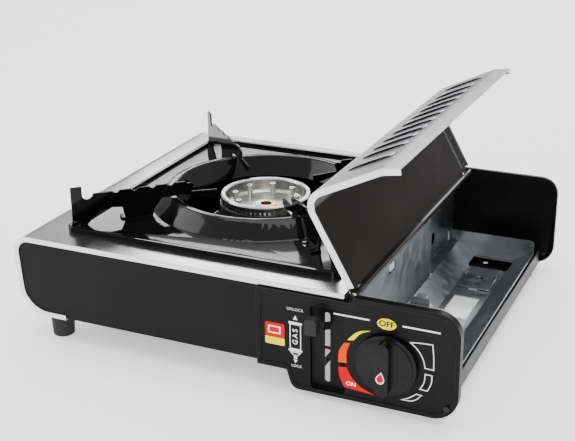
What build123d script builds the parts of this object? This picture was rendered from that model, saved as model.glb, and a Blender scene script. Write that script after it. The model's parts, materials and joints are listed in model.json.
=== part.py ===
from build123d import *
import math
import os

os.makedirs("parts", exist_ok=True)

# Portable gas stove with one burner, a canister bay under a hinged lid, and a lift-out drip tray.
# Millimetres, +Z up. The origin is on the ground under the middle of the whole stove.

# ---------------------------------------------------------------- driving dimensions
sheet = 0.8                 # thickness of the steel sheet parts
joint_gap = 0.4             # air between sheet parts that lie beside each other

tray_width = 216.0          # drip tray, left to right
tray_depth = 233.0          # drip tray, front to back
tray_side_gap = 3.0         # tray edge to the opening in the deck, each side
tray_front_lap = 3.5        # the tray's front rim rests this far over the deck
tray_back_gap = 2.5
left_margin = 30.6          # body side to the opening
hinge_margin = 11.4         # opening to the canister bay
bay_width = 78.0            # canister bay, under the lid
front_margin = 24.0
back_margin = 19.0

canister_diameter = 66.0    # butane canister that lies in the bay
canister_length = 184.0
bay_floor = 12.0            # lowest line of the canister tray
canister_headroom = 2.0
body_floor = 18.0           # underside of the burner side of the body
bay_bottom = 4.5            # underside of the bay's panels

side_lean = 4.0             # the sides draw in this much towards the bottom
top_corner = 13.0           # outer bend radius along the top edges
bottom_corner = 24.0        # large bend at the bottom of the left side
flange_width = 4.0          # bright flange around the ends of the top panel
fold_depth = 8.0            # fold down around the tray opening
opening_corner = 12.0
hinge_flange = 8.0          # fold down along the hinge side of the deck

knob_reach = 13.0           # the knob stands out this far from the front flange
knob_radius = 21.0
knob_from_right = 48.6
knob_height = 37.0
spindle_radius = 3.0
running_gap = 0.05          # radial clearance of turning fits

# ---------------------------------------------------------------- derived frame
opening_width = tray_width + 2 * tray_side_gap
opening_depth = tray_depth - tray_front_lap + tray_back_gap
body_width = left_margin + opening_width + hinge_margin + bay_width
body_depth = front_margin + opening_depth + back_margin
deck_height = bay_floor + canister_diameter + canister_headroom

left_x = -body_width / 2
right_x = body_width / 2
front_y = -(body_depth - knob_reach) / 2
back_y = front_y + body_depth
deck_end_x = right_x - bay_width - 1.4
opening_x = left_x + left_margin + opening_width / 2
opening_y = front_y + front_margin + opening_depth / 2
burner_x = opening_x
burner_y = front_y + front_margin - tray_front_lap + tray_depth / 2


def xz_plane(y):
    """Upright plane facing the front at depth y; a sketch on it reads (x, z)."""
    return Plane(origin=(0, y, 0), x_dir=(1, 0, 0), z_dir=(0, -1, 0))


def yz_plane(x):
    """Upright plane facing right at x; a sketch on it reads (y, z)."""
    return Plane(origin=(x, 0, 0), x_dir=(0, 1, 0), z_dir=(1, 0, 0))


def burner_plane(z):
    """Level plane at height z, centred on the burner."""
    return Plane(origin=(burner_x, burner_y, z))


def radial_plane(angle):
    """Upright plane through the burner's axis; a sketch on it reads (distance from the axis, z)."""
    turn = math.radians(angle)
    return Plane(
        origin=(burner_x, burner_y, 0),
        x_dir=(math.cos(turn), math.sin(turn), 0),
        z_dir=(math.sin(turn), -math.cos(turn), 0),
    )


def save(piece, name):
    """Label a finished piece and write it as its own STEP file."""
    piece.part.label = name
    export_step(piece.part, f"parts/{name}.step")


burner_axis = Axis((burner_x, burner_y, 0), (0, 0, 1))

# ---------------------------------------------------------------- top panel
# One bent stainless sheet: left side, deck and the fold along the hinge.


def body_section(inset):
    """Section of the burner side of the body, drawn in from its outside by inset."""
    with BuildSketch() as section:
        Polygon(
            (left_x + side_lean, body_floor),
            (left_x, deck_height),
            (deck_end_x, deck_height),
            (deck_end_x, body_floor),
            align=None,
        )
        left_corners = section.vertices().sort_by(Axis.X)
        fillet(left_corners[0], radius=top_corner)
        lowest_left = section.vertices().group_by(Axis.Y)[0].sort_by(Axis.X)[0]
        fillet(lowest_left, radius=bottom_corner)
        if inset > 0:
            inner = offset(section.sketch, amount=-inset, mode=Mode.PRIVATE)
            return inner
    return section.sketch


outer_section = body_section(0)
sheet_section = body_section(sheet)
flange_section = body_section(flange_width)
panel_section = body_section(sheet + joint_gap)
lip_run = 14.0              # the bottom lip runs this far past the large bend
lip_end_x = left_x + side_lean + bottom_corner + lip_run

with BuildPart() as top_panel:
    with BuildSketch(xz_plane(back_y)) as wrap:
        add(outer_section)
        add(sheet_section, mode=Mode.SUBTRACT)
        with Locations(((lip_end_x + right_x) / 2, body_floor)):
            Rectangle(right_x - lip_end_x, 4 * sheet, mode=Mode.SUBTRACT)
        with Locations((deck_end_x, (body_floor + deck_height - hinge_flange) / 2)):
            Rectangle(4 * sheet, deck_height - hinge_flange - body_floor, mode=Mode.SUBTRACT)
    extrude(amount=body_depth)
    # bright flanges at the front and back ends
    for flange_y in (front_y + sheet, back_y):
        with BuildSketch(xz_plane(flange_y)):
            add(outer_section)
            add(flange_section, mode=Mode.SUBTRACT)
            with Locations(((lip_end_x + right_x) / 2, body_floor + flange_width / 2)):
                Rectangle(right_x - lip_end_x, 3 * flange_width, mode=Mode.SUBTRACT)
            with Locations((deck_end_x, (body_floor + deck_height - flange_width) / 2)):
                Rectangle(2.5 * flange_width, deck_height - flange_width - body_floor, mode=Mode.SUBTRACT)
        extrude(amount=sheet)
    # the hinge fold stops short of the end panels
    for end_y in (front_y, back_y):
        with Locations((deck_end_x, end_y, deck_height - sheet - hinge_flange / 2)):
            Box(4 * sheet, 24.0, hinge_flange, mode=Mode.SUBTRACT)
    for flange_y in (front_y + sheet, back_y):
        with BuildSketch(xz_plane(flange_y)):
            with Locations((deck_end_x - flange_width, deck_height - flange_width / 2)):
                Rectangle(2 * flange_width, flange_width)
        extrude(amount=sheet)
    # tray opening with its edge folded down
    with BuildSketch(Plane.XY.offset(deck_height + 1)):
        with Locations((opening_x, opening_y)):
            RectangleRounded(opening_width, opening_depth, opening_corner)
    extrude(amount=-(2 + sheet), mode=Mode.SUBTRACT)
    with BuildSketch(Plane.XY.offset(deck_height)):
        with Locations((opening_x, opening_y)):
            RectangleRounded(opening_width + 2 * sheet, opening_depth + 2 * sheet, opening_corner + sheet)
            RectangleRounded(opening_width, opening_depth, opening_corner, mode=Mode.SUBTRACT)
    extrude(amount=-fold_depth)
save(top_panel, "top_panel")

# ---------------------------------------------------------------- control panel
panel_left_x = deck_end_x - 62.6
panel_front = front_y - 2.5         # face of the raised bezel
panel_back = front_y + 3.2
panel_wall = 1.2
bezel_width = 3.0
bezel_height = 1.0
panel_right_top = 16.0
panel_right_bottom = 18.0
step_run = 26.0                     # the lower part starts this far from the panel's left edge
step_corner = 7.0
knob_x = right_x - knob_from_right
slot_x = panel_left_x + 50.0        # the lever's arm passes through the panel here
slot_width = 4.0
lever_mid = 38.0                    # height of the middle of the lever's travel
slot_height = 52.0
pocket_width = 25.0
pocket_height = slot_height + 10.0
screw_hole = 2.2
corner_screw = (right_x - 7.5, bay_bottom + 9.0)


def control_outline(inset):
    """Outline of the control panel, drawn in by inset."""
    with BuildSketch() as outline:
        Polygon(
            (panel_left_x, body_floor),
            (panel_left_x, deck_height - flange_width - joint_gap),
            (deck_end_x + 7, deck_height - flange_width - joint_gap),
            (deck_end_x + 7, deck_height),
            (right_x, deck_height),
            (right_x, bay_bottom),
            (panel_left_x + step_run, bay_bottom),
            (panel_left_x + step_run - 4, body_floor),
            align=None,
        )
        right_ends = outline.vertices().group_by(Axis.X)[-1].sort_by(Axis.Y)
        fillet(right_ends[-1], radius=panel_right_top)
        right_ends = outline.vertices().group_by(Axis.X)[-1].sort_by(Axis.Y)
        fillet(right_ends[0], radius=panel_right_bottom)
        step_bottom = outline.vertices().group_by(Axis.Y)[0].sort_by(Axis.X)[0]
        fillet(step_bottom, radius=step_corner)
        if inset > 0:
            return offset(outline.sketch, amount=-inset, mode=Mode.PRIVATE)
    return outline.sketch


with BuildPart() as control_panel:
    with BuildSketch(xz_plane(panel_back)):
        add(control_outline(0))
    extrude(amount=panel_back - panel_front)
    with BuildSketch(xz_plane(panel_back)):
        add(control_outline(panel_wall))
    extrude(amount=panel_back - panel_front - bezel_height - panel_wall, mode=Mode.SUBTRACT)
    with BuildSketch(xz_plane(panel_front + bezel_height)):
        add(control_outline(bezel_width))
    extrude(amount=bezel_height, mode=Mode.SUBTRACT)
    # pocket around the lever, then the slot for its arm
    with BuildSketch(xz_plane(panel_back)):
        with Locations((slot_x + 1.5, lever_mid)):
            RectangleRounded(pocket_width + 2 * panel_wall, pocket_height + 2 * panel_wall, 3 + panel_wall)
    extrude(amount=panel_back - panel_front - bezel_height)
    with BuildSketch(xz_plane(panel_back - panel_wall)):
        with Locations((slot_x + 1.5, lever_mid)):
            RectangleRounded(pocket_width, pocket_height, 3)
    extrude(amount=panel_back - panel_front - bezel_height - panel_wall, mode=Mode.SUBTRACT)
    with BuildSketch(xz_plane(panel_back)):
        with Locations((slot_x, lever_mid)):
            SlotOverall(slot_height, slot_width, rotation=90)
        with Locations((knob_x, knob_height)):
            Circle(2.2 * spindle_radius)
        with Locations(corner_screw):
            Circle(screw_hole / 2)
    extrude(amount=panel_back - panel_front, mode=Mode.SUBTRACT)
save(control_panel, "control_panel")

# ---------------------------------------------------------------- front panel, burner side
front_panel_y = front_y + sheet + 0.2
front_panel_end = panel_left_x - joint_gap
panel_hem = 8.0

with BuildPart() as front_panel:
    with BuildSketch(xz_plane(front_panel_y + sheet)) as sheet_face:
        add(panel_section)
        with Locations(((front_panel_end + right_x) / 2, deck_height / 2)):
            Rectangle(right_x - front_panel_end, 2 * deck_height, mode=Mode.SUBTRACT)
    extrude(amount=sheet)
    # hem turned back along the bottom
    hem_start = left_x + side_lean + bottom_corner
    with BuildSketch(xz_plane(front_panel_y + panel_hem)):
        with Locations(((hem_start + front_panel_end) / 2, body_floor + sheet + joint_gap + sheet / 2)):
            Rectangle(front_panel_end - hem_start, sheet)
    extrude(amount=panel_hem)
save(front_panel, "front_panel")

# ---------------------------------------------------------------- back panel
back_plate_y = back_y - sheet - 0.2
bay_corner_top = 14.0
bay_corner_bottom = 16.0
bay_lip = 2.5
skirt_depth = 44.0                  # the bottom of the bay end is turned forward this far
skirt_left_x = deck_end_x + 2
skirt_right_x = right_x - 26.5


def bay_end_outline(inset):
    """Outline of the canister end of the back panel, drawn in by inset."""
    with BuildSketch() as outline:
        Polygon(
            (deck_end_x + joint_gap, bay_bottom),
            (deck_end_x + joint_gap, deck_height),
            (right_x, deck_height),
            (right_x, bay_bottom),
            align=None,
        )
        right_ends = outline.vertices().group_by(Axis.X)[-1].sort_by(Axis.Y)
        fillet(right_ends[-1], radius=bay_corner_top)
        right_ends = outline.vertices().group_by(Axis.X)[-1].sort_by(Axis.Y)
        fillet(right_ends[0], radius=bay_corner_bottom)
        if inset > 0:
            return offset(outline.sketch, amount=-inset, mode=Mode.PRIVATE)
    return outline.sketch


with BuildPart() as back_panel:
    with BuildSketch(xz_plane(back_plate_y)):
        add(panel_section)
        with Locations((deck_end_x, deck_height / 2)):
            Rectangle(4 * sheet, 2 * deck_height, mode=Mode.SUBTRACT)
        add(bay_end_outline(0))
        join_bottom = body_floor + sheet + joint_gap
        join_top = deck_height - hinge_flange - joint_gap
        with Locations((deck_end_x, (join_bottom + join_top) / 2)):
            Rectangle(10 * sheet, join_top - join_bottom)
        with Locations(corner_screw):
            Circle(screw_hole / 2, mode=Mode.SUBTRACT)
    extrude(amount=sheet)
    with BuildSketch(xz_plane(back_plate_y - sheet)):
        add(bay_end_outline(0))
        add(bay_end_outline(sheet), mode=Mode.SUBTRACT)
        with Locations((deck_end_x, deck_height / 2 - 6)):
            Rectangle(8, deck_height, mode=Mode.SUBTRACT)
    extrude(amount=bay_lip)
    with BuildSketch(Plane.XY.offset(bay_bottom)):
        with Locations(((skirt_left_x + skirt_right_x) / 2, back_plate_y - sheet - skirt_depth / 2)):
            Rectangle(skirt_right_x - skirt_left_x, skirt_depth)
        with Locations(((skirt_left_x + skirt_right_x) / 2, back_plate_y - 22)):
            Circle(2.2, mode=Mode.SUBTRACT)
    extrude(amount=sheet)
save(back_panel, "back_panel")

# ---------------------------------------------------------------- base pan and partition
pan_level = body_floor + 2 * sheet + 1.5 * joint_gap
pan_front = panel_back + joint_gap
pan_back = back_plate_y - sheet - joint_gap
partition_x = deck_end_x + 1.4
partition_jog = 8.0
jog_y = front_y + 0.65 * body_depth
partition_top = deck_height - hinge_flange - joint_gap
pan_left = left_x + side_lean + 0.6 * bottom_corner + sheet + joint_gap
pan_right = partition_x - partition_jog - joint_gap
pan_wall = 8.0

with BuildPart() as base_pan:
    with BuildSketch(Plane.XY.offset(pan_level)):
        with Locations(((pan_left + pan_right) / 2, (pan_front + pan_back) / 2)):
            Rectangle(pan_right - pan_left, pan_back - pan_front)
    extrude(amount=sheet)
    for wall_y in (pan_front + sheet, pan_back):
        with BuildSketch(xz_plane(wall_y)):
            with Locations(((pan_left + bottom_corner + pan_right) / 2, pan_level + pan_wall / 2)):
                Rectangle(pan_right - pan_left - bottom_corner, pan_wall)
        extrude(amount=sheet)
    # slot for the lock lever's arm at the bottom of its travel
    with Locations((slot_x, pan_front + 8, pan_level + pan_wall / 2)):
        Box(8, 24, 2 * pan_wall, mode=Mode.SUBTRACT)
    # air openings
    air_openings = (
        (burner_x + 82.5, burner_y - 87, 35, 70),
        (burner_x + 86, burner_y + 55, 30, 44),
        (burner_x - 91, burner_y + 87.5, 26, 26),
        (burner_x - 84, burner_y - 60, 30, 60),
    )
    for hole_x, hole_y, hole_w, hole_d in air_openings:
        with BuildSketch(Plane.XY.offset(pan_level)):
            with Locations((hole_x, hole_y)):
                RectangleRounded(hole_w, hole_d, 4)
        extrude(amount=sheet, mode=Mode.SUBTRACT)
save(base_pan, "base_pan")

pipe_hole_y = front_y + 34.0
outlet_height = 50.0
gas_pipe_radius = 2.5
wire_hole_y = front_y + 9.8
wire_hole_z = knob_height + 10.0
wire_radius = 1.1
grommet_radius = 2.6

with BuildPart() as partition:
    with BuildSketch(Plane.XY.offset(bay_floor + 2)):
        with BuildLine():
            Polyline(
                (partition_x, panel_back + 3),
                (partition_x, jog_y),
                (partition_x - partition_jog, jog_y + 1.5 * partition_jog),
                (partition_x - partition_jog, back_y - 9 - bay_lip),
            )
            offset(amount=sheet, side=Side.RIGHT)
        make_face()
    extrude(amount=partition_top - bay_floor - 2)
    with BuildSketch(yz_plane(partition_x - 12)):
        with Locations((front_y + 86.5, 64.5)):
            Rectangle(13, 7)
        with Locations((front_y + 208, 38)):
            Circle(5.5)
        with Locations((pipe_hole_y, outlet_height)):
            Circle(gas_pipe_radius + 1.5)
        with Locations((wire_hole_y, wire_hole_z)):
            Circle(grommet_radius)
    extrude(amount=24, mode=Mode.SUBTRACT)
save(partition, "partition")

# ---------------------------------------------------------------- canister tray and side rail
cradle_left = partition_x + 1.6
cradle_right = right_x - 12.5
cradle_x = (cradle_left + cradle_right) / 2
cradle_flat = 30.0
cradle_rise = 8.5
carriage_recess = 1.8               # the tray's flat lies this far under the canister
cradle_floor = bay_floor - carriage_recess
cradle_front = panel_back + 5
stop_plate_y = front_y + 67 + canister_length + 2
stop_plate_height = 21.0
tray_sheet = 1.0
flange_left = partition_x - partition_jog + sheet + joint_gap
flange_front = jog_y + 1.5 * partition_jog + 1.0
tongue_y = front_y + 196.0
tongue_width = 5.0
tongue_length = 6.0
carriage_travel = 6.0
rail_x = right_x - 10.5
rail_bottom = 6.0
rail_top = 18.0
rail_foot = 14.0

with BuildPart() as canister_tray:
    with BuildSketch(xz_plane(stop_plate_y)):
        with BuildLine():
            Polyline(
                (cradle_left, bay_floor + cradle_rise),
                (cradle_x - cradle_flat / 2, cradle_floor),
                (cradle_x + cradle_flat / 2, cradle_floor),
                (cradle_right, bay_floor + cradle_rise),
            )
            offset(amount=tray_sheet, side=Side.RIGHT)
        make_face()
    extrude(amount=stop_plate_y - cradle_front)
    with BuildSketch(xz_plane(stop_plate_y + tray_sheet)):
        with Locations(((flange_left + cradle_right) / 2, cradle_floor - tray_sheet + stop_plate_height / 2)):
            RectangleRounded(cradle_right - flange_left, stop_plate_height, 3)
    extrude(amount=tray_sheet)
    # level flange that closes the gap to the partition behind its jog
    with BuildSketch(Plane.XY.offset(bay_floor + cradle_rise)):
        Polygon(
            (cradle_left, jog_y + 1),
            (flange_left, flange_front),
            (flange_left, stop_plate_y),
            (cradle_left, stop_plate_y),
            align=None,
        )
    extrude(amount=-tray_sheet)
    with BuildSketch(Plane.XY.offset(cradle_floor + 1)):
        with Locations((cradle_x, front_y + 152)):
            Rectangle(20, 38)
        with Locations((cradle_x, stop_plate_y - 13)):
            RectangleRounded(34, 22, 3)
        with Locations((cradle_x, tongue_y)):
            Rectangle(tongue_width + 2, tongue_length + carriage_travel + 10)
    extrude(amount=-4, mode=Mode.SUBTRACT)
save(canister_tray, "canister_tray")

with BuildPart() as side_rail:
    with BuildSketch(xz_plane(back_plate_y - sheet - bay_lip - joint_gap)):
        with BuildLine():
            Polyline(
                (rail_x - rail_foot, rail_bottom),
                (rail_x, rail_bottom),
                (rail_x, rail_top),
            )
            offset(amount=tray_sheet, side=Side.LEFT)
        make_face()
    extrude(amount=back_plate_y - sheet - bay_lip - 2 * joint_gap - panel_back)
    # the upright part stops short at both ends, where the flanges of the shut lid pass
    for end_y in (panel_back, back_plate_y - sheet - bay_lip - joint_gap):
        with Locations((rail_x, end_y, rail_bottom + tray_sheet + rail_top / 2)):
            Box(6, 10, rail_top, mode=Mode.SUBTRACT)
save(side_rail, "side_rail")

# ---------------------------------------------------------------- feet
tall_foot_radius = 9.0
short_foot_radius = 6.0
foot_inset = 13.0
tall_foot_x = left_x + side_lean + bottom_corner + 2
short_foot_x = rail_x - rail_foot / 2

foot_places = (
    ("foot_front_left", tall_foot_x, front_y + foot_inset, tall_foot_radius, body_floor),
    ("foot_back_left", tall_foot_x, back_y - foot_inset, tall_foot_radius, body_floor),
    ("foot_front_right", short_foot_x, front_y + foot_inset + 6, short_foot_radius, rail_bottom),
    ("foot_back_right", short_foot_x, back_y - foot_inset - 12, short_foot_radius, rail_bottom),
)
for foot_name, foot_x, foot_y, foot_radius, foot_height in foot_places:
    with BuildPart() as foot:
        with BuildSketch(Plane(origin=(foot_x, foot_y, 0))):
            Circle(foot_radius - 1)
        with BuildSketch(Plane(origin=(foot_x, foot_y, foot_height))):
            Circle(foot_radius)
        loft()
        fillet(foot.edges().group_by(Axis.Z)[0], radius=1.0)
    save(foot, foot_name)

# ---------------------------------------------------------------- drip tray
tray_corner = 6.0
tray_rim_height = 4.0
tray_rim_width = 3.0
tray_level = deck_height + 0.1
collar_radius = 74.0                # crest of the raised collar around the burner
collar_height = 13.0
collar_foot_radius = 88.0
collar_throat_radius = 62.0
collar_throat_drop = 14.5

with BuildPart() as drip_tray:
    with BuildSketch(burner_plane(tray_level)):
        RectangleRounded(tray_width, tray_depth, tray_corner)
        Circle(collar_foot_radius + 0.5, mode=Mode.SUBTRACT)
    extrude(amount=sheet)
    with BuildSketch(burner_plane(tray_level)):
        RectangleRounded(tray_width, tray_depth, tray_corner)
        RectangleRounded(
            tray_width - 2 * tray_rim_width,
            tray_depth - 2 * tray_rim_width,
            tray_corner - tray_rim_width,
            mode=Mode.SUBTRACT,
        )
    extrude(amount=tray_rim_height)
    with BuildSketch(radial_plane(0)):
        with BuildLine():
            FilletPolyline(
                (collar_foot_radius + 4, tray_level + sheet),
                (collar_foot_radius, tray_level + sheet),
                (collar_radius + 2.5, tray_level + collar_height),
                (collar_radius - 2.5, tray_level + collar_height),
                (collar_throat_radius, tray_level + collar_height - collar_throat_drop),
                radius=(2.5, 2.0, 2.0),
            )
            offset(amount=sheet, side=Side.LEFT)
        make_face()
    revolve(axis=burner_axis)
save(drip_tray, "drip_tray")

# ---------------------------------------------------------------- pan supports
support_sheet = 1.5
support_reach = 152.0               # outer end, from the burner's axis
short_support_reach = 146.0         # the right-hand pair is shorter, clear of the open lid
support_tip = 40.0                  # inner end
support_top = deck_height + 24.5
post_top = deck_height + 31.0
post_width = 8.5
rim_air = 0.4                       # the outer end bridges the tray's rim with this much air
rim_step = 6.2
foot_level = tray_level + sheet + 0.05
foot_tab_width = 9.0
foot_tab_length = 24.0
foot_tab_mid = 103.0
notch_pitch = 14.0
notch_count = 5
rivet_radius = 1.6

# angle around the burner, name and outer end of each support
supports = (
    (45, "pan_support_back_right", short_support_reach),
    (135, "pan_support_back_left", support_reach),
    (225, "pan_support_front_left", support_reach),
    (315, "pan_support_front_right", short_support_reach),
)
for support_angle, support_name, reach in supports:
    turn = math.radians(support_angle)
    side_plane = radial_plane(support_angle)
    with BuildPart() as pan_support:
        with BuildSketch(side_plane.offset(-support_sheet / 2)):
            Polygon(
                (reach - post_width, post_top),
                (reach, post_top),
                (reach, tray_level + tray_rim_height + rim_air),
                (reach - rim_step, tray_level + tray_rim_height + rim_air),
                (reach - rim_step, foot_level),
                (reach - 11, foot_level),
                (reach - 15, foot_level + 4),
                (reach - 21, foot_level + 9),
                (reach - 30, foot_level + 11),
                (foot_tab_mid + foot_tab_length / 2 - 1, foot_level + 10),
                (foot_tab_mid + foot_tab_length / 2 - 3, foot_level),
                (foot_tab_mid - foot_tab_length / 2, foot_level),
                (foot_tab_mid - foot_tab_length / 2 - 2, foot_level + 6),
                (collar_radius + 9, tray_level + collar_height + 0.8),
                (collar_radius - 8, tray_level + collar_height + 1.2),
                (support_tip + 4, deck_height + 9),
                (support_tip, deck_height + 11),
                (support_tip, deck_height + 15),
                (collar_radius - 14, deck_height + 16),
                (collar_radius - 16, support_top - 3),
                (collar_radius - 12, support_top),
                (reach - post_width, support_top),
                align=None,
            )
            with Locations((reach - post_width - 4, support_top)):
                Circle(4.0, mode=Mode.SUBTRACT)
            with Locations((collar_radius + 16, support_top + 1.5)):
                with GridLocations(notch_pitch, 1, notch_count, 1):
                    Circle(3.2, mode=Mode.SUBTRACT)
        extrude(amount=support_sheet)
        # foot tab bent to the side, riveted to the tray
        tab_plane = Plane(
            origin=(
                burner_x + foot_tab_mid * math.cos(turn),
                burner_y + foot_tab_mid * math.sin(turn),
                foot_level,
            ),
            x_dir=(math.cos(turn), math.sin(turn), 0),
            z_dir=(0, 0, 1),
        )
        with BuildSketch(tab_plane):
            with Locations((0, -foot_tab_width / 2 + support_sheet / 2)):
                RectangleRounded(foot_tab_length, foot_tab_width, 2)
            with Locations((-6, -5), (6, -5)):
                Circle(rivet_radius, mode=Mode.SUBTRACT)
        extrude(amount=support_sheet)
    save(pan_support, support_name)

with BuildPart() as support_rivets:
    for support_angle in (45, 135, 225, 315):
        turn = math.radians(support_angle)
        tab_plane = Plane(
            origin=(
                burner_x + foot_tab_mid * math.cos(turn),
                burner_y + foot_tab_mid * math.sin(turn),
                foot_level,
            ),
            x_dir=(math.cos(turn), math.sin(turn), 0),
            z_dir=(0, 0, 1),
        )
        with BuildSketch(tab_plane):
            with Locations((-6, -5), (6, -5)):
                Circle(rivet_radius)
        extrude(amount=support_sheet)
        with BuildSketch(tab_plane.offset(support_sheet)):
            with Locations((-6, -5), (6, -5)):
                Circle(rivet_radius + 0.9)
        extrude(amount=0.9)
save(support_rivets, "support_rivets")

# ---------------------------------------------------------------- burner
rim_radius = 35.5
rim_inner_radius = 31.0
rim_top = deck_height + 7.0
rim_thickness = 3.4
bowl_wall = 1.6
bowl_floor_top = deck_height - 4.0
hub_hole_radius = 7.0
post_circle_radius = 24.5
post_count = 8
post_radius = 2.2
post_bore = 1.2
ring_height = 4.0
ring_bottom = rim_top - rim_thickness - ring_height
port_count = 60
port_width = 1.6
base_radius = 36.0
base_wall = 2.0
base_bottom = deck_height - 22.0
inlet_height = deck_height - 11.5
inlet_radius = 8.5
inlet_bore = 6.5
inlet_reach = 44.0                  # end of the base's inlet neck, from the burner's axis

with BuildPart() as burner_bowl:
    with BuildSketch(radial_plane(0)):
        with BuildLine():
            Polyline(
                (hub_hole_radius, bowl_floor_top),
                (rim_inner_radius - 2, bowl_floor_top),
                (rim_inner_radius, bowl_floor_top + 2),
                (rim_inner_radius, rim_top - 1),
                (rim_inner_radius + 1, rim_top),
                (rim_radius - 1, rim_top),
                (rim_radius, rim_top - 1),
                (rim_radius, rim_top - rim_thickness),
                (rim_inner_radius + bowl_wall, rim_top - rim_thickness),
                (rim_inner_radius + bowl_wall, bowl_floor_top + 0.6),
                (rim_inner_radius - 0.4, bowl_floor_top - bowl_wall),
                (hub_hole_radius, bowl_floor_top - bowl_wall),
                close=True,
            )
        make_face()
    revolve(axis=burner_axis)
    with BuildSketch(burner_plane(bowl_floor_top)):
        with PolarLocations(post_circle_radius, post_count, start_angle=12):
            Circle(post_bore)
    extrude(amount=-bowl_wall, mode=Mode.SUBTRACT)
save(burner_bowl, "burner_bowl")

with BuildPart() as burner_posts:
    with BuildSketch(burner_plane(bowl_floor_top)):
        with PolarLocations(post_circle_radius, post_count, start_angle=12):
            Circle(post_radius)
            Circle(post_bore, mode=Mode.SUBTRACT)
    extrude(amount=rim_top - 1.5 - bowl_floor_top)
save(burner_posts, "burner_posts")

with BuildPart() as flame_ring:
    with BuildSketch(burner_plane(ring_bottom)):
        Circle(rim_radius - 0.4)
        Circle(rim_inner_radius + bowl_wall + 0.1, mode=Mode.SUBTRACT)
    extrude(amount=ring_height)
    with BuildSketch(burner_plane(ring_bottom + 0.8)):
        with PolarLocations(rim_radius - 1.5, port_count):
            Rectangle(6, port_width)
    extrude(amount=ring_height - 1.6, mode=Mode.SUBTRACT)
save(flame_ring, "flame_ring")

with BuildPart() as burner_base:
    with BuildSketch(radial_plane(0)):
        Polygon(
            (hub_hole_radius, base_bottom),
            (base_radius - 6, base_bottom),
            (base_radius, base_bottom + 8),
            (base_radius, ring_bottom),
            (rim_inner_radius + bowl_wall + 0.1, ring_bottom),
            (rim_inner_radius + bowl_wall + 0.1, ring_bottom - 1.5),
            (base_radius - base_wall, ring_bottom - 1.5),
            (base_radius - base_wall, base_bottom + 9),
            (base_radius - 7, base_bottom + base_wall),
            (hub_hole_radius + base_wall, base_bottom + base_wall),
            (hub_hole_radius + base_wall, bowl_floor_top - bowl_wall),
            (hub_hole_radius, bowl_floor_top - bowl_wall),
            align=None,
        )
    revolve(axis=burner_axis)
    with BuildSketch(Plane(origin=(burner_x + base_radius - 3, burner_y, inlet_height), z_dir=(1, 0, 0))):
        Circle(inlet_radius)
    extrude(amount=inlet_reach - base_radius + 3)
    with BuildSketch(Plane(origin=(burner_x + inlet_reach, burner_y, inlet_height), z_dir=(-1, 0, 0))):
        Circle(inlet_bore)
    extrude(amount=inlet_reach - base_radius + 6, mode=Mode.SUBTRACT)
save(burner_base, "burner_base")

with BuildPart() as burner_hub:
    with BuildSketch(radial_plane(0)):
        Polygon(
            (hub_hole_radius - 2.4, base_bottom + 3),
            (hub_hole_radius, base_bottom + 3),
            (hub_hole_radius, bowl_floor_top),
            (hub_hole_radius + 1.6, bowl_floor_top),
            (hub_hole_radius + 1.2, bowl_floor_top + 1.4),
            (hub_hole_radius - 2.4, bowl_floor_top + 1.4),
            align=None,
        )
    revolve(axis=burner_axis)
save(burner_hub, "burner_hub")

stand_sheet = 1.5
stand_width = 18.0
stand_reach = 22.0
with BuildPart() as burner_stand:
    with BuildSketch(xz_plane(burner_y + stand_width / 2)):
        for leg_side in (-1, 1):
            with Locations((burner_x + leg_side * stand_reach, (pan_level + sheet + base_bottom) / 2)):
                Rectangle(stand_sheet, base_bottom - pan_level - sheet)
            with Locations((burner_x + leg_side * (stand_reach + 5), pan_level + sheet + stand_sheet / 2)):
                Rectangle(10 + stand_sheet, stand_sheet)
        with Locations((burner_x, base_bottom - stand_sheet / 2)):
            Rectangle(2 * stand_reach, stand_sheet)
    extrude(amount=stand_width)
    with BuildSketch(burner_plane(base_bottom)):
        Circle(hub_hole_radius)
        with Locations((-14, 0), (14, 0)):
            Circle(1.5)
    extrude(amount=-2 * stand_sheet, mode=Mode.SUBTRACT)
save(burner_stand, "burner_stand")

with BuildPart() as burner_screws:
    for screw_side in (-1, 1):
        with BuildSketch(Plane(origin=(burner_x + 14 * screw_side, burner_y, base_bottom))):
            Circle(1.5)
        extrude(amount=-stand_sheet)
        with BuildSketch(Plane(origin=(burner_x + 14 * screw_side, burner_y, base_bottom - stand_sheet))):
            Circle(2.8)
        extrude(amount=-1.8)
save(burner_screws, "burner_screws")

# ---------------------------------------------------------------- gas line
tube_end_x = burner_x + 74.0
jet_length = 12.0
pipe_turn_x = tube_end_x + jet_length + 14.0
regulator_left = partition_x + 11.0
union_length = 9.0

with BuildPart() as mixing_tube:
    with BuildSketch(Plane(origin=(burner_x + inlet_reach, burner_y, inlet_height), z_dir=(1, 0, 0))):
        Circle(inlet_radius - 0.5)
        Circle(inlet_bore, mode=Mode.SUBTRACT)
    extrude(amount=tube_end_x - burner_x - inlet_reach)
    # air windows beside the jet
    with Locations((tube_end_x - 10, burner_y, inlet_height)):
        Box(9, 7, 4 * inlet_radius, mode=Mode.SUBTRACT)
save(mixing_tube, "mixing_tube")

with BuildPart() as jet:
    with BuildSketch(Plane(origin=(tube_end_x - 3, burner_y, inlet_height), z_dir=(1, 0, 0))):
        Circle(inlet_bore)
        Circle(0.6, mode=Mode.SUBTRACT)
    extrude(amount=5)
    with BuildSketch(Plane(origin=(tube_end_x + 2, burner_y, inlet_height), z_dir=(1, 0, 0))):
        RegularPolygon(5.0, 6)
        Circle(0.6, mode=Mode.SUBTRACT)
    extrude(amount=jet_length - 2)
save(jet, "jet")

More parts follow.
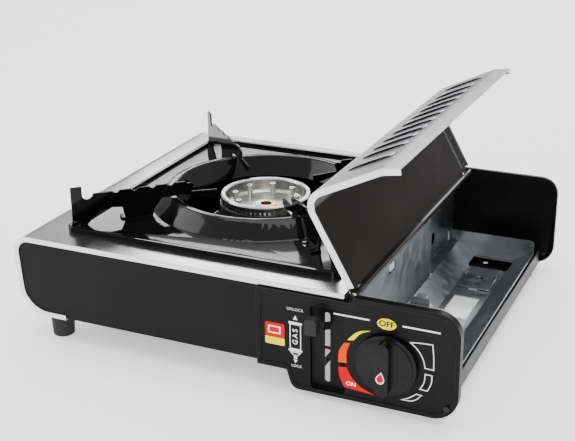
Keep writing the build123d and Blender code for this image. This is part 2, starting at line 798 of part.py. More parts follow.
with BuildPart() as gas_pipe:
    with BuildLine() as pipe_path:
        FilletPolyline(
            (tube_end_x + jet_length, burner_y, inlet_height),
            (pipe_turn_x, burner_y, inlet_height),
            (pipe_turn_x, pipe_hole_y, outlet_height),
            (regulator_left - union_length, pipe_hole_y, outlet_height),
            radius=11,
        )
    with BuildSketch(Plane(origin=pipe_path.line @ 0, z_dir=pipe_path.line % 0)):
        Circle(gas_pipe_radius)
        Circle(gas_pipe_radius - 0.8, mode=Mode.SUBTRACT)
    sweep()
save(gas_pipe, "gas_pipe")

with BuildPart() as pipe_union:
    with BuildSketch(Plane(origin=(regulator_left - union_length, pipe_hole_y, outlet_height), z_dir=(1, 0, 0))):
        RegularPolygon(5.0, 6)
        Circle(1.0, mode=Mode.SUBTRACT)
    extrude(amount=union_length)
save(pipe_union, "pipe_union")

# ---------------------------------------------------------------- regulator and its canister connector
canister_axis_z = bay_floor + canister_diameter / 2
regulator_front = front_y + 14.0
regulator_back = front_y + 50.0
regulator_width = 42.0
regulator_bottom = 24.0
regulator_top = 58.0
regulator_x = regulator_left + regulator_width / 2
connector_radius = 11.0
connector_length = 9.0
cap_radius = 15.0

with BuildPart() as regulator_body:
    with BuildSketch(Plane.XY.offset(regulator_bottom)):
        with Locations((regulator_x, (regulator_front + regulator_back) / 2)):
            RectangleRounded(regulator_width, regulator_back - regulator_front, 5)
    extrude(amount=regulator_top - regulator_bottom)
    fillet(regulator_body.edges().group_by(Axis.Z)[-1], radius=2)
    # spindle bore and diaphragm chamber
    with BuildSketch(xz_plane(regulator_front)):
        with Locations((knob_x, knob_height)):
            Circle(spindle_radius + running_gap)
    extrude(amount=-22, mode=Mode.SUBTRACT)
    with BuildSketch(xz_plane(regulator_back)):
        with Locations((cradle_x, canister_axis_z)):
            Circle(connector_radius - 3)
    extrude(amount=10, mode=Mode.SUBTRACT)
save(regulator_body, "regulator_body")

# bracket that hangs the regulator on the partition
bracket_y = front_y + 44.5
with BuildPart() as regulator_bracket:
    with BuildSketch(xz_plane(bracket_y + 4)):
        with Locations((partition_x + sheet + 0.6, 40)):
            Rectangle(1.2, 12)
        with Locations(((partition_x + sheet + regulator_left) / 2, 45.4)):
            Rectangle(regulator_left - partition_x - sheet, 1.2)
        with Locations((regulator_left - 0.6, 40)):
            Rectangle(1.2, 12)
    extrude(amount=8)
save(regulator_bracket, "regulator_bracket")

with BuildPart() as diaphragm_cap:
    with BuildSketch(Plane(origin=(regulator_x, (regulator_front + regulator_back) / 2, regulator_bottom))):
        Circle(cap_radius)
    extrude(amount=-4)
    with BuildSketch(Plane(origin=(regulator_x, (regulator_front + regulator_back) / 2, regulator_bottom - 4))):
        Circle(cap_radius - 4)
    extrude(amount=-3)
save(diaphragm_cap, "diaphragm_cap")

with BuildPart() as connector:
    with BuildSketch(xz_plane(regulator_back + connector_length)):
        with Locations((cradle_x, canister_axis_z)):
            Circle(connector_radius)
            Circle(5.2, mode=Mode.SUBTRACT)
    extrude(amount=connector_length)
save(connector, "connector")

with BuildPart() as connector_seal:
    with BuildSketch(xz_plane(regulator_back)):
        with Locations((cradle_x, canister_axis_z)):
            Circle(connector_radius - 3)
            Circle(3.0, mode=Mode.SUBTRACT)
    extrude(amount=2.5)
save(connector_seal, "connector_seal")

guide_height = 62.0
with BuildPart() as guide_bracket:
    with BuildSketch(xz_plane(regulator_back + 1.2)):
        with Locations((cradle_x, (canister_axis_z + connector_radius + guide_height) / 2 + 0.2)):
            Rectangle(14, guide_height - canister_axis_z - connector_radius)
    extrude(amount=1.0)
    with BuildSketch(Plane.XY.offset(guide_height)):
        with Locations((cradle_x, regulator_back + 4.2)):
            Rectangle(7, 8)
    extrude(amount=-1.0)
save(guide_bracket, "guide_bracket")

# ---------------------------------------------------------------- knob, spindle and igniter
skirt_front = front_y - 5.0
knob_front = skirt_front - 1.0
ridge_width = 9.0
panel_air = 0.6                     # knob skirt to the panel's face
piezo_depth = 8.0

with BuildPart() as valve_spindle:
    with BuildSketch(xz_plane(regulator_front + 18)):
        with Locations((knob_x, knob_height)):
            Circle(spindle_radius)
    extrude(amount=regulator_front + 18 - skirt_front - 0.5)
save(valve_spindle, "valve_spindle")

with BuildPart() as knob:
    with BuildSketch(xz_plane(panel_front - panel_air)):
        with Locations((knob_x, knob_height)):
            Circle(knob_radius)
    extrude(amount=panel_front - panel_air - skirt_front)
    with BuildSketch(xz_plane(skirt_front)):
        with Locations((knob_x, knob_height)):
            Circle(knob_radius - 2.5)
    extrude(amount=skirt_front - knob_front, taper=8)
    with BuildSketch(xz_plane(skirt_front)):
        with Locations((knob_x, knob_height)):
            SlotOverall(2 * knob_radius - 4, ridge_width, rotation=90)
    extrude(amount=skirt_front - front_y + knob_reach)
    with BuildSketch(xz_plane(panel_front - panel_air)):
        with Locations((knob_x, knob_height)):
            Circle(spindle_radius)
    extrude(amount=panel_front - panel_air - skirt_front + 0.5, mode=Mode.SUBTRACT)
save(knob, "knob")

with BuildPart() as piezo_unit:
    with BuildSketch(xz_plane(regulator_front - 0.2)):
        with Locations((knob_x, knob_height)):
            Rectangle(30, 24)
            Circle(spindle_radius + running_gap, mode=Mode.SUBTRACT)
    extrude(amount=piezo_depth)
    with BuildSketch(xz_plane(regulator_front - 0.2)):
        with Locations((knob_x - 19, wire_hole_z)):
            Circle(5.5)
        with Locations((knob_x - 14, wire_hole_z)):
            Rectangle(6, 7)
    extrude(amount=piezo_depth)
save(piezo_unit, "piezo_unit")

ceramic_turn = math.radians(-38)
ceramic_radius = 43.0
ceramic_x = burner_x + ceramic_radius * math.cos(ceramic_turn)
ceramic_y = burner_y + ceramic_radius * math.sin(ceramic_turn)
ceramic_bottom = base_bottom + 2.0
ceramic_height = 19.0
bracket_sheet = 1.2

with BuildPart() as igniter_bracket:
    with BuildSketch(Plane.XY.offset(ceramic_bottom + 3)):
        with Locations((ceramic_x, ceramic_y)):
            RectangleRounded(11, 11, 2)
            Circle(2.6, mode=Mode.SUBTRACT)
    extrude(amount=bracket_sheet)
    with BuildSketch(Plane.XY.offset(ceramic_bottom + 3)):
        with Locations((ceramic_x + 4.9, ceramic_y)):
            Rectangle(bracket_sheet, 11)
    extrude(amount=-(ceramic_bottom + 3 - pan_level - sheet))
save(igniter_bracket, "igniter_bracket")

with BuildPart() as igniter_ceramic:
    with BuildSketch(Plane(origin=(ceramic_x, ceramic_y, ceramic_bottom))):
        Circle(2.6)
        Circle(0.8, mode=Mode.SUBTRACT)
    extrude(amount=ceramic_height)
save(igniter_ceramic, "igniter_ceramic")

spark_reach = 5.0
with BuildPart() as igniter_electrode:
    with BuildLine() as spark_path:
        FilletPolyline(
            (ceramic_x, ceramic_y, ceramic_bottom),
            (ceramic_x, ceramic_y, ceramic_bottom + ceramic_height + 4),
            (
                ceramic_x - spark_reach * math.cos(ceramic_turn),
                ceramic_y - spark_reach * math.sin(ceramic_turn),
                ceramic_bottom + ceramic_height + 4,
            ),
            radius=1.6,
        )
    with BuildSketch(Plane(origin=spark_path.line @ 0, z_dir=spark_path.line % 0)):
        Circle(0.8)
    sweep()
save(igniter_electrode, "igniter_electrode")

wire_level = pan_level + sheet + wire_radius + 0.3
wire_rise_x = partition_x - 6.0
wire_run_y = pipe_hole_y - 4.6
with BuildPart() as igniter_wire:
    with BuildLine() as wire_path:
        FilletPolyline(
            (ceramic_x, ceramic_y, ceramic_bottom),
            (ceramic_x, ceramic_y, wire_level),
            (ceramic_x + 2, ceramic_y - 40, wire_level),
            (ceramic_x + 18, wire_run_y, wire_level),
            (wire_rise_x, wire_run_y, wire_level),
            (wire_rise_x, wire_run_y, wire_hole_z),
            (wire_rise_x, wire_hole_y, wire_hole_z),
            (knob_x - 19 - 5.5, wire_hole_y, wire_hole_z),
            radius=5,
        )
    with BuildSketch(Plane(origin=wire_path.line @ 0, z_dir=wire_path.line % 0)):
        Circle(wire_radius)
    sweep()
save(igniter_wire, "igniter_wire")

with BuildPart() as wire_grommet:
    for ring_x, ring_radius, ring_run in (
        (partition_x - 1, grommet_radius + 1, 1.0),
        (partition_x, grommet_radius, sheet),
        (partition_x + sheet, grommet_radius + 1, 1.0),
    ):
        with BuildSketch(yz_plane(ring_x)):
            with Locations((wire_hole_y, wire_hole_z)):
                Circle(ring_radius)
                Circle(wire_radius, mode=Mode.SUBTRACT)
        extrude(amount=ring_run)
save(wire_grommet, "wire_grommet")

# ---------------------------------------------------------------- lock lever and canister carriage
lever_pivot_y = front_y + 42.0
lever_half_travel = 20.0            # the grip sits this far above the middle when unlocked
grip_y = front_y - 7.0
grip_width = 10.0
grip_height = 12.5
lever_plate = 2.0
lever_hub_radius = 5.0
lever_pin_radius = 2.0
lever_angle = math.degrees(math.atan2(lever_half_travel, lever_pivot_y - grip_y))
lever_reach = math.hypot(lever_half_travel, lever_pivot_y - grip_y)

lever_frame = Plane(
    origin=(slot_x - lever_plate / 2, lever_pivot_y, lever_mid),
    x_dir=(0, -math.cos(math.radians(lever_angle)), math.sin(math.radians(lever_angle))),
    z_dir=(-1, 0, 0),
)
with BuildPart() as lock_lever:
    with BuildSketch(lever_frame.offset(-lever_plate)):
        Circle(lever_hub_radius)
        with Locations((lever_reach / 2, 0)):
            Rectangle(lever_reach, 5)
        Circle(lever_pin_radius + running_gap, mode=Mode.SUBTRACT)
    extrude(amount=lever_plate)
save(lock_lever, "lock_lever")

grip_plane = Plane(
    origin=(slot_x - lever_plate / 2 - grip_width / 2, grip_y, lever_mid + lever_half_travel),
    x_dir=(1, 0, 0),
    z_dir=(0, -1, 0),
)
with BuildPart() as lever_grip:
    with BuildSketch(grip_plane):
        RectangleRounded(grip_width, grip_height, 2.5)
    extrude(amount=6, taper=8)
save(lever_grip, "lever_grip")

pin_bracket_gap = 0.5
with BuildPart() as lever_bracket:
    for side_x in (slot_x - lever_plate / 2 - pin_bracket_gap - 1.2, slot_x + lever_plate / 2 + pin_bracket_gap):
        with BuildSketch(yz_plane(side_x)):
            with Locations((lever_pivot_y, (lever_mid + 5 + pan_level + sheet) / 2)):
                Rectangle(11, lever_mid + 5 - pan_level - sheet)
            with Locations((lever_pivot_y, lever_mid)):
                Circle(lever_pin_radius, mode=Mode.SUBTRACT)
        extrude(amount=1.2)
    with BuildSketch(Plane.XY.offset(pan_level + sheet)):
        with Locations((slot_x, lever_pivot_y)):
            Rectangle(lever_plate + 2 * pin_bracket_gap + 2.4, 11)
    extrude(amount=1.2)
save(lever_bracket, "lever_bracket")

with BuildPart() as lever_pin:
    with BuildSketch(yz_plane(slot_x - 5)):
        with Locations((lever_pivot_y, lever_mid)):
            Circle(lever_pin_radius)
    extrude(amount=10)
save(lever_pin, "lever_pin")

carriage_gap = 0.4
carriage_width = 26.0
carriage_front = front_y + 186.0
carriage_back = stop_plate_y - 26.0
ear_height = 3.5
ear_length = 12.0
with BuildPart() as canister_carriage:
    with BuildSketch(Plane.XY.offset(cradle_floor + carriage_gap)):
        with Locations((cradle_x, (carriage_front + carriage_back) / 2)):
            RectangleRounded(carriage_width, carriage_back - carriage_front, 2)
            Circle(2.5, mode=Mode.SUBTRACT)
    extrude(amount=sheet)
    # two low ears that keep the canister straight
    for ear_side in (-1, 1):
        with Locations(
            (
                cradle_x + ear_side * (carriage_width - sheet) / 2,
                carriage_back - 6 - ear_length / 2,
                cradle_floor + carriage_gap + ear_height / 2,
            )
        ):
            Box(sheet, ear_length, ear_height)
save(canister_carriage, "canister_carriage")

link_level = cradle_floor - 3.6
link_sheet = 1.2
link_bar_width = 6.0
link_x = cradle_left + 3.0
with BuildPart() as carriage_link:
    with BuildSketch(Plane.XY.offset(link_level)):
        with Locations((link_x, (lever_pivot_y + tongue_y) / 2)):
            Rectangle(link_bar_width, tongue_y - lever_pivot_y + tongue_length)
        with Locations(((link_x + cradle_x) / 2, tongue_y)):
            Rectangle(cradle_x - link_x + tongue_width, tongue_length)
    extrude(amount=link_sheet)
    with BuildSketch(Plane.XY.offset(link_level + link_sheet)):
        with Locations((cradle_x, tongue_y)):
            Rectangle(tongue_width, tongue_length)
    extrude(amount=cradle_floor + carriage_gap - link_level - link_sheet)
save(carriage_link, "carriage_link")

# ---------------------------------------------------------------- lid and hinge
hinge_x = deck_end_x + 5.2
hinge_z = deck_height - 2.4
lid_open_angle = 119.0
rod_radius = 1.2
knuckle_radius = 2.2
lid_front = panel_back + 1.8
lid_back = back_plate_y - sheet - bay_lip - 1.5
lid_span = right_x - hinge_x
lid_top = deck_height - hinge_z
lid_drop = 60.0                     # straight part of the lid's side
lid_curl_run = 4.5
lid_curl_drop = 12.0
lid_flange = 4.4
slot_length = 33.0
louvre_width = 1.5
louvre_pitch = 19.7
louvre_count = 9
end_louvre = 105.0
louvre_from_corner = 23.0


def lid_plane(y):
    """The lid's own section plane at depth y: origin on the hinge, (across the top, up) when closed."""
    turn = math.radians(lid_open_angle)
    return Plane(origin=(hinge_x, y, hinge_z), x_dir=(math.cos(turn), 0, math.sin(turn)), z_dir=(0, -1, 0))


knuckle_gap = 0.5
hinge_bracket_width = 9.0
hinge_bracket_places = (
    ("hinge_bracket_front", lid_front + 8),
    ("hinge_bracket_middle", (lid_front + lid_back - hinge_bracket_width) / 2),
    ("hinge_bracket_back", lid_back - 8 - hinge_bracket_width),
)
knuckle_edges = [lid_front]
for bracket_name, bracket_start in hinge_bracket_places:
    knuckle_edges += [bracket_start - knuckle_gap, bracket_start + hinge_bracket_width + knuckle_gap]
knuckle_edges.append(lid_back)
knuckle_spans = list(zip(knuckle_edges[0::2], knuckle_edges[1::2]))
lid_lean = side_lean * lid_drop / (deck_height - body_floor)


def lid_outline(depth):
    """Band of the lid's section, depth thick, inside its outer line."""
    with BuildSketch() as band:
        with BuildLine():
            FilletPolyline(
                (knuckle_radius + 0.5, lid_top),
                (lid_span, lid_top),
                (lid_span - lid_lean, lid_top - lid_drop),
                (lid_span - lid_lean - lid_curl_run, lid_top - lid_drop - lid_curl_drop),
                radius=(top_corner, 16),
            )
            offset(amount=depth, side=Side.RIGHT)
        make_face()
    return band.sketch


with BuildPart() as lid:
    with BuildSketch(lid_plane(lid_back)):
        add(lid_outline(sheet))
    extrude(amount=lid_back - lid_front)
    for flange_y in (lid_front + sheet, lid_back):
        with BuildSketch(lid_plane(flange_y)):
            add(lid_outline(lid_flange))
            Circle(knuckle_radius + 3.5, mode=Mode.SUBTRACT)
        extrude(amount=sheet)
    # cooling slots down the side
    slot_mid = louvre_from_corner + slot_length / 2
    corner_x = hinge_x + lid_span * math.cos(math.radians(lid_open_angle)) - lid_top * math.sin(
        math.radians(lid_open_angle)
    )
    corner_z = hinge_z + lid_span * math.sin(math.radians(lid_open_angle)) + lid_top * math.cos(
        math.radians(lid_open_angle)
    )
    side_direction = math.radians(lid_open_angle) - math.pi + math.atan2(lid_drop, lid_lean)
    slot_plane = Plane(
        origin=(
            corner_x + slot_mid * math.cos(side_direction),
            (lid_front + lid_back) / 2 + 4,
            corner_z + slot_mid * math.sin(side_direction),
        ),
        x_dir=(0, 1, 0),
        z_dir=(-math.sin(side_direction), 0, math.cos(side_direction)),
    )
    with BuildSketch(slot_plane.offset(-4)):
        with GridLocations(louvre_pitch, 1, louvre_count, 1):
            SlotOverall(slot_length, louvre_width, rotation=90)
        with GridLocations(2 * end_louvre, 1, 2, 1):
            SlotOverall(slot_length, louvre_width, rotation=90)
    extrude(amount=8, mode=Mode.SUBTRACT)
    # knuckles rolled around the hinge rod, with a web to the top of the lid
    for knuckle_start, knuckle_end in knuckle_spans:
        with BuildSketch(lid_plane(knuckle_end)):
            Circle(knuckle_radius)
            with Locations((knuckle_radius / 2 + 0.5, lid_top - sheet / 2)):
                Rectangle(knuckle_radius + 1.0, sheet)
            Circle(rod_radius + running_gap, mode=Mode.SUBTRACT)
        extrude(amount=knuckle_end - knuckle_start)
save(lid, "lid")

with BuildPart() as hinge_rod:
    with BuildSketch(xz_plane(lid_back + 0.6)):
        with Locations((hinge_x, hinge_z)):
            Circle(rod_radius)
    extrude(amount=lid_back - lid_front + 1.2)
save(hinge_rod, "hinge_rod")

# brackets spot-welded inside the deck's hinge fold, one for each gap between the knuckles
for bracket_name, bracket_start in hinge_bracket_places:
    with BuildPart() as hinge_bracket:
        with BuildSketch(xz_plane(bracket_start + hinge_bracket_width)):
            with Locations((hinge_x, hinge_z)):
                Circle(knuckle_radius)
            with Locations(((deck_end_x + hinge_x) / 2, hinge_z - knuckle_radius + sheet / 2)):
                Rectangle(hinge_x - deck_end_x, sheet)
            with Locations((deck_end_x + sheet / 2, hinge_z - knuckle_radius - 1)):
                Rectangle(sheet, 4)
            with Locations((hinge_x, hinge_z)):
                Circle(rod_radius, mode=Mode.SUBTRACT)
        extrude(amount=hinge_bracket_width)
    save(hinge_bracket, bracket_name)

# ---------------------------------------------------------------- fasteners
screw_shank = 1.0
screw_head = 1.9
screw_head_height = 1.0
screw_length = 4.0


def screw(x, y, z, direction):
    """Pan-head screw with its head's seat at (x, y, z), the shank running against direction."""
    with BuildPart() as fastener:
        with BuildSketch(Plane(origin=(x, y, z), z_dir=direction)):
            Circle(screw_head)
        extrude(amount=screw_head_height)
        fillet(fastener.edges().sort_by(Axis.Y)[0 if direction[1] < 0 else -1], radius=0.4)
        with BuildSketch(Plane(origin=(x, y, z), z_dir=direction)):
            Circle(screw_shank)
        extrude(amount=-screw_length)
    return fastener.part


front_screw = screw(corner_screw[0], panel_front, corner_screw[1], (0, -1, 0))
back_screw = screw(corner_screw[0], back_plate_y, corner_screw[1], (0, 1, 0))
with BuildPart() as panel_screws:
    add(front_screw)
    add(back_screw)
save(panel_screws, "panel_screws")
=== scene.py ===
import bpy
import bmesh
import json
from math import radians, cos, sin, pi, sqrt
from mathutils import Vector, Matrix


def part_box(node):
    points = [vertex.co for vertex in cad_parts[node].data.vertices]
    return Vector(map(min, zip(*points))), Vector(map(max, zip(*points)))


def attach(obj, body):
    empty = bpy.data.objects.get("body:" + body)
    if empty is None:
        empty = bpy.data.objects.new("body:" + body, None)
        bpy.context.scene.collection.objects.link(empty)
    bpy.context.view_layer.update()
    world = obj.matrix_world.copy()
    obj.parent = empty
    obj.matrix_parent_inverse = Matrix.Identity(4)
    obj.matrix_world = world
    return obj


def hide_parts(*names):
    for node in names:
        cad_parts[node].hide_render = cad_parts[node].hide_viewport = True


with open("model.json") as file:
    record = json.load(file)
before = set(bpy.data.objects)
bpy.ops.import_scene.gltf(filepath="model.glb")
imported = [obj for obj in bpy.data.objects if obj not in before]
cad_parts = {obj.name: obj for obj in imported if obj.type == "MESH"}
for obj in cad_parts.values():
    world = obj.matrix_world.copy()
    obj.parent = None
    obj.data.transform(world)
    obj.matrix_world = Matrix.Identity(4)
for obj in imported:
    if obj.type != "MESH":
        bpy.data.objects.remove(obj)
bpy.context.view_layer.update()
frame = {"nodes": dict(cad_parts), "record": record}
nodes = frame["nodes"]
bodyOfNode = {n: b for b, members in frame["record"]["behaviour"]["bodies"].items() for n in members}
slotOfNode = {s["node"]: s["material_slot"] for s in frame["record"]["subparts"]}
mm = 0.001
print("frame loaded:", len(nodes), "nodes")

# places on the stove, in millimetres, taken from the CAD boxes
def midOf(node):
    low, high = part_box(node)
    return (Vector(low) + Vector(high)) / 2 / mm

burnerMid = midOf("burner_bowl")
knobMid = midOf("knob")
hingeMid = midOf("hinge_rod")


# shared shader groups: each puts out values only, the shader stays in the material
def newGroup(name, inputs, outputs):
    group = bpy.data.node_groups.new(name, "ShaderNodeTree")
    for title, kind, default in inputs:
        socket = group.interface.new_socket(name=title, in_out="INPUT", socket_type=kind)
        if default is not None:
            socket.default_value = default
    for title, kind in outputs:
        group.interface.new_socket(name=title, in_out="OUTPUT", socket_type=kind)
    return group, group.nodes.new("NodeGroupInput"), group.nodes.new("NodeGroupOutput")


def mathNode(tree, operation, a, b, clamp=False):
    node = tree.nodes.new("ShaderNodeMath")
    node.operation = operation
    node.use_clamp = clamp
    for index, value in enumerate((a, b)):
        if isinstance(value, (int, float)):
            node.inputs[index].default_value = value
        else:
            tree.links.new(value, node.inputs[index])
    return node.outputs[0]


def noiseNode(tree, vector, scale, detail, rough):
    node = tree.nodes.new("ShaderNodeTexNoise")
    node.inputs["Scale"].default_value = scale
    node.inputs["Detail"].default_value = detail
    node.inputs["Roughness"].default_value = rough
    tree.links.new(vector, node.inputs["Vector"])
    return node.outputs["Fac"]


def buildBrushed():
    group, start, end = newGroup(
        "brushedGrain",
        [("Vector", "NodeSocketVector", None), ("Stretch", "NodeSocketVector", (1.0, 60.0, 60.0))],
        [("Grain", "NodeSocketFloat"), ("Streak", "NodeSocketFloat")],
    )
    scaled = group.nodes.new("ShaderNodeVectorMath")
    scaled.operation = "MULTIPLY"
    group.links.new(start.outputs["Vector"], scaled.inputs[0])
    group.links.new(start.outputs["Stretch"], scaled.inputs[1])
    fine = noiseNode(group, scaled.outputs[0], scale=22.0, detail=4.0, rough=0.7)
    broad = noiseNode(group, scaled.outputs[0], scale=4.0, detail=2.0, rough=0.5)
    group.links.new(fine, end.inputs["Grain"])
    group.links.new(broad, end.inputs["Streak"])
    return group


def buildSmudge():
    group, start, end = newGroup(
        "handledSurface",
        [("Vector", "NodeSocketVector", None), ("Size", "NodeSocketFloat", 30.0)],
        [("Smudge", "NodeSocketFloat"), ("Speck", "NodeSocketFloat"), ("Ripple", "NodeSocketFloat")],
    )
    cloud = group.nodes.new("ShaderNodeTexNoise")
    cloud.inputs["Detail"].default_value = 4.0
    cloud.inputs["Distortion"].default_value = 0.4
    group.links.new(start.outputs["Vector"], cloud.inputs["Vector"])
    group.links.new(start.outputs["Size"], cloud.inputs["Scale"])
    ramp = group.nodes.new("ShaderNodeMapRange")
    ramp.inputs["From Min"].default_value = 0.42
    ramp.inputs["From Max"].default_value = 0.68
    group.links.new(cloud.outputs["Fac"], ramp.inputs["Value"])
    group.links.new(ramp.outputs["Result"], end.inputs["Smudge"])
    dust = noiseNode(group, start.outputs["Vector"], scale=1600.0, detail=2.0, rough=0.5)
    speck = group.nodes.new("ShaderNodeMapRange")
    speck.inputs["From Min"].default_value = 0.68
    speck.inputs["From Max"].default_value = 0.76
    group.links.new(dust, speck.inputs["Value"])
    group.links.new(speck.outputs["Result"], end.inputs["Speck"])
    ripple = noiseNode(group, start.outputs["Vector"], scale=240.0, detail=2.0, rough=0.4)
    group.links.new(ripple, end.inputs["Ripple"])
    return group


def buildEdgeWear():
    # edges show where the rounded normal leaves the true one
    group, start, end = newGroup(
        "edgeWear",
        [("Vector", "NodeSocketVector", None), ("Low", "NodeSocketFloat", 0.015),
         ("High", "NodeSocketFloat", 0.16)],
        [("Wear", "NodeSocketFloat")],
    )
    rounded = group.nodes.new("ShaderNodeBevel")
    rounded.samples = 4
    rounded.inputs["Radius"].default_value = 0.6 * mm
    shape = group.nodes.new("ShaderNodeNewGeometry")
    match = group.nodes.new("ShaderNodeVectorMath")
    match.operation = "DOT_PRODUCT"
    group.links.new(rounded.outputs["Normal"], match.inputs[0])
    group.links.new(shape.outputs["Normal"], match.inputs[1])
    apart = mathNode(group, "SUBTRACT", 1.0, match.outputs["Value"])
    edge = group.nodes.new("ShaderNodeMapRange")
    group.links.new(apart, edge.inputs["Value"])
    group.links.new(start.outputs["Low"], edge.inputs["From Min"])
    group.links.new(start.outputs["High"], edge.inputs["From Max"])
    patch = noiseNode(group, start.outputs["Vector"], scale=160.0, detail=4.0, rough=0.6)
    worn = mathNode(group, "MULTIPLY", edge.outputs["Result"], patch, clamp=True)
    group.links.new(worn, end.inputs["Wear"])
    return group


def buildSpangle():
    group, start, end = newGroup(
        "zincSpangle",
        [("Vector", "NodeSocketVector", None)],
        [("Spangle", "NodeSocketFloat"), ("Cloud", "NodeSocketFloat")],
    )
    cells = group.nodes.new("ShaderNodeTexVoronoi")
    cells.inputs["Scale"].default_value = 170.0
    cells.inputs["Randomness"].default_value = 1.0
    group.links.new(start.outputs["Vector"], cells.inputs["Vector"])
    grey = group.nodes.new("ShaderNodeSeparateColor")
    group.links.new(cells.outputs["Color"], grey.inputs["Color"])
    group.links.new(grey.outputs["Red"], end.inputs["Spangle"])
    cloud = noiseNode(group, start.outputs["Vector"], scale=18.0, detail=4.0, rough=0.6)
    group.links.new(cloud, end.inputs["Cloud"])
    return group


brushedGrain = buildBrushed()
handledSurface = buildSmudge()
edgeWear = buildEdgeWear()
zincSpangle = buildSpangle()


def startMaterial(name, colour, rough, metal=0.0, coat=0.0, coatRough=0.04, level=0.5):
    mat = bpy.data.materials.new(name)
    mat.use_nodes = True
    tree = mat.node_tree
    shader = tree.nodes["Principled BSDF"]
    shader.inputs["Base Color"].default_value = (*colour, 1.0)
    shader.inputs["Roughness"].default_value = rough
    shader.inputs["Metallic"].default_value = metal
    shader.inputs["Coat Weight"].default_value = coat
    shader.inputs["Coat Roughness"].default_value = coatRough
    shader.inputs["Specular IOR Level"].default_value = level
    place = tree.nodes.new("ShaderNodeTexCoord")
    return mat, tree, shader, place.outputs["Object"]


def placeGroup(tree, group, vector, **values):
    node = tree.nodes.new("ShaderNodeGroup")
    node.node_tree = group
    tree.links.new(vector, node.inputs["Vector"])
    for title, value in values.items():
        node.inputs[title].default_value = value
    return node


def mixColour(tree, factor, first, second):
    node = tree.nodes.new("ShaderNodeMix")
    node.data_type = "RGBA"
    for index, value in ((6, first), (7, second)):
        if isinstance(value, tuple):
            node.inputs[index].default_value = (*value, 1.0)
        else:
            tree.links.new(value, node.inputs[index])
    tree.links.new(factor, node.inputs[0])
    return node.outputs[2]


def spread(tree, value, low, high):
    node = tree.nodes.new("ShaderNodeMapRange")
    node.inputs["To Min"].default_value = low
    node.inputs["To Max"].default_value = high
    tree.links.new(value, node.inputs["Value"])
    return node.outputs["Result"]


def addBump(tree, shader, height, strength, distance):
    bump = tree.nodes.new("ShaderNodeBump")
    bump.inputs["Strength"].default_value = strength
    bump.inputs["Distance"].default_value = distance
    tree.links.new(height, bump.inputs["Height"])
    tree.links.new(bump.outputs["Normal"], shader.inputs["Normal"])


def brushedMetal(name, colour, rough, stretch, streakRough, strength):
    mat, tree, shader, vector = startMaterial(name, colour, rough, metal=1.0)
    grain = placeGroup(tree, brushedGrain, vector, Stretch=stretch)
    touch = placeGroup(tree, handledSurface, vector, Size=26.0)
    dark = tuple(c * 0.86 for c in colour)
    tinted = mixColour(tree, grain.outputs["Streak"], dark, colour)
    tree.links.new(tinted, shader.inputs["Base Color"])
    grained = spread(tree, grain.outputs["Grain"], rough - streakRough / 2, rough + streakRough / 2)
    roughness = mathNode(tree, "ADD", grained, spread(tree, touch.outputs["Smudge"], 0.0, 0.05))
    tree.links.new(roughness, shader.inputs["Roughness"])
    addBump(tree, shader, grain.outputs["Grain"], strength, 0.00004)
    return mat


def glossPaint(name, colour, rough, coat, worn=(0.07, 0.07, 0.072), ripple=0.10, size=30.0, dust=0.02,
               level=0.5):
    mat, tree, shader, vector = startMaterial(name, colour, rough, coat=coat, level=level)
    touch = placeGroup(tree, handledSurface, vector, Size=size)
    wear = placeGroup(tree, edgeWear, vector)
    dusty = tuple(min(1.0, c + dust) for c in colour)
    base = mixColour(tree, touch.outputs["Smudge"], colour, dusty)
    base = mixColour(tree, wear.outputs["Wear"], base, worn)
    tree.links.new(base, shader.inputs["Base Color"])
    roughness = mathNode(tree, "ADD", spread(tree, touch.outputs["Smudge"], rough, rough + 0.07),
                         spread(tree, touch.outputs["Speck"], 0.0, 0.25), clamp=True)
    tree.links.new(roughness, shader.inputs["Roughness"])
    addBump(tree, shader, touch.outputs["Ripple"], ripple, 0.00008)
    return mat


def mouldedPlastic(name, colour, rough, grain, level=0.35):
    mat, tree, shader, vector = startMaterial(name, colour, rough, level=level)
    touch = placeGroup(tree, handledSurface, vector, Size=55.0)
    wear = placeGroup(tree, edgeWear, vector)
    handled = tuple(c * 1.35 + 0.004 for c in colour)
    rubbed = tuple(c * 1.8 + 0.02 for c in colour)
    base = mixColour(tree, touch.outputs["Smudge"], colour, handled)
    base = mixColour(tree, wear.outputs["Wear"], base, rubbed)
    tree.links.new(base, shader.inputs["Base Color"])
    roughness = spread(tree, touch.outputs["Smudge"], rough - 0.05, rough + 0.08)
    tree.links.new(roughness, shader.inputs["Roughness"])
    pebble = noiseNode(tree, vector, scale=2600.0, detail=2.0, rough=0.5)
    addBump(tree, shader, pebble, grain, 0.00005)
    return mat


def zincSheet(name, colour):
    mat, tree, shader, vector = startMaterial(name, colour, 0.3, metal=1.0)
    spangle = placeGroup(tree, zincSpangle, vector)
    touch = placeGroup(tree, handledSurface, vector, Size=34.0)
    shade = mixColour(tree, spangle.outputs["Spangle"], tuple(c * 0.84 for c in colour), colour)
    shade = mixColour(tree, touch.outputs["Smudge"], shade, tuple(c * 0.72 for c in colour))
    tree.links.new(shade, shader.inputs["Base Color"])
    roughness = mathNode(tree, "ADD", spread(tree, spangle.outputs["Spangle"], 0.26, 0.38),
                         spread(tree, spangle.outputs["Cloud"], -0.04, 0.1))
    tree.links.new(roughness, shader.inputs["Roughness"])
    addBump(tree, shader, spangle.outputs["Cloud"], 0.15, 0.0004)
    return mat


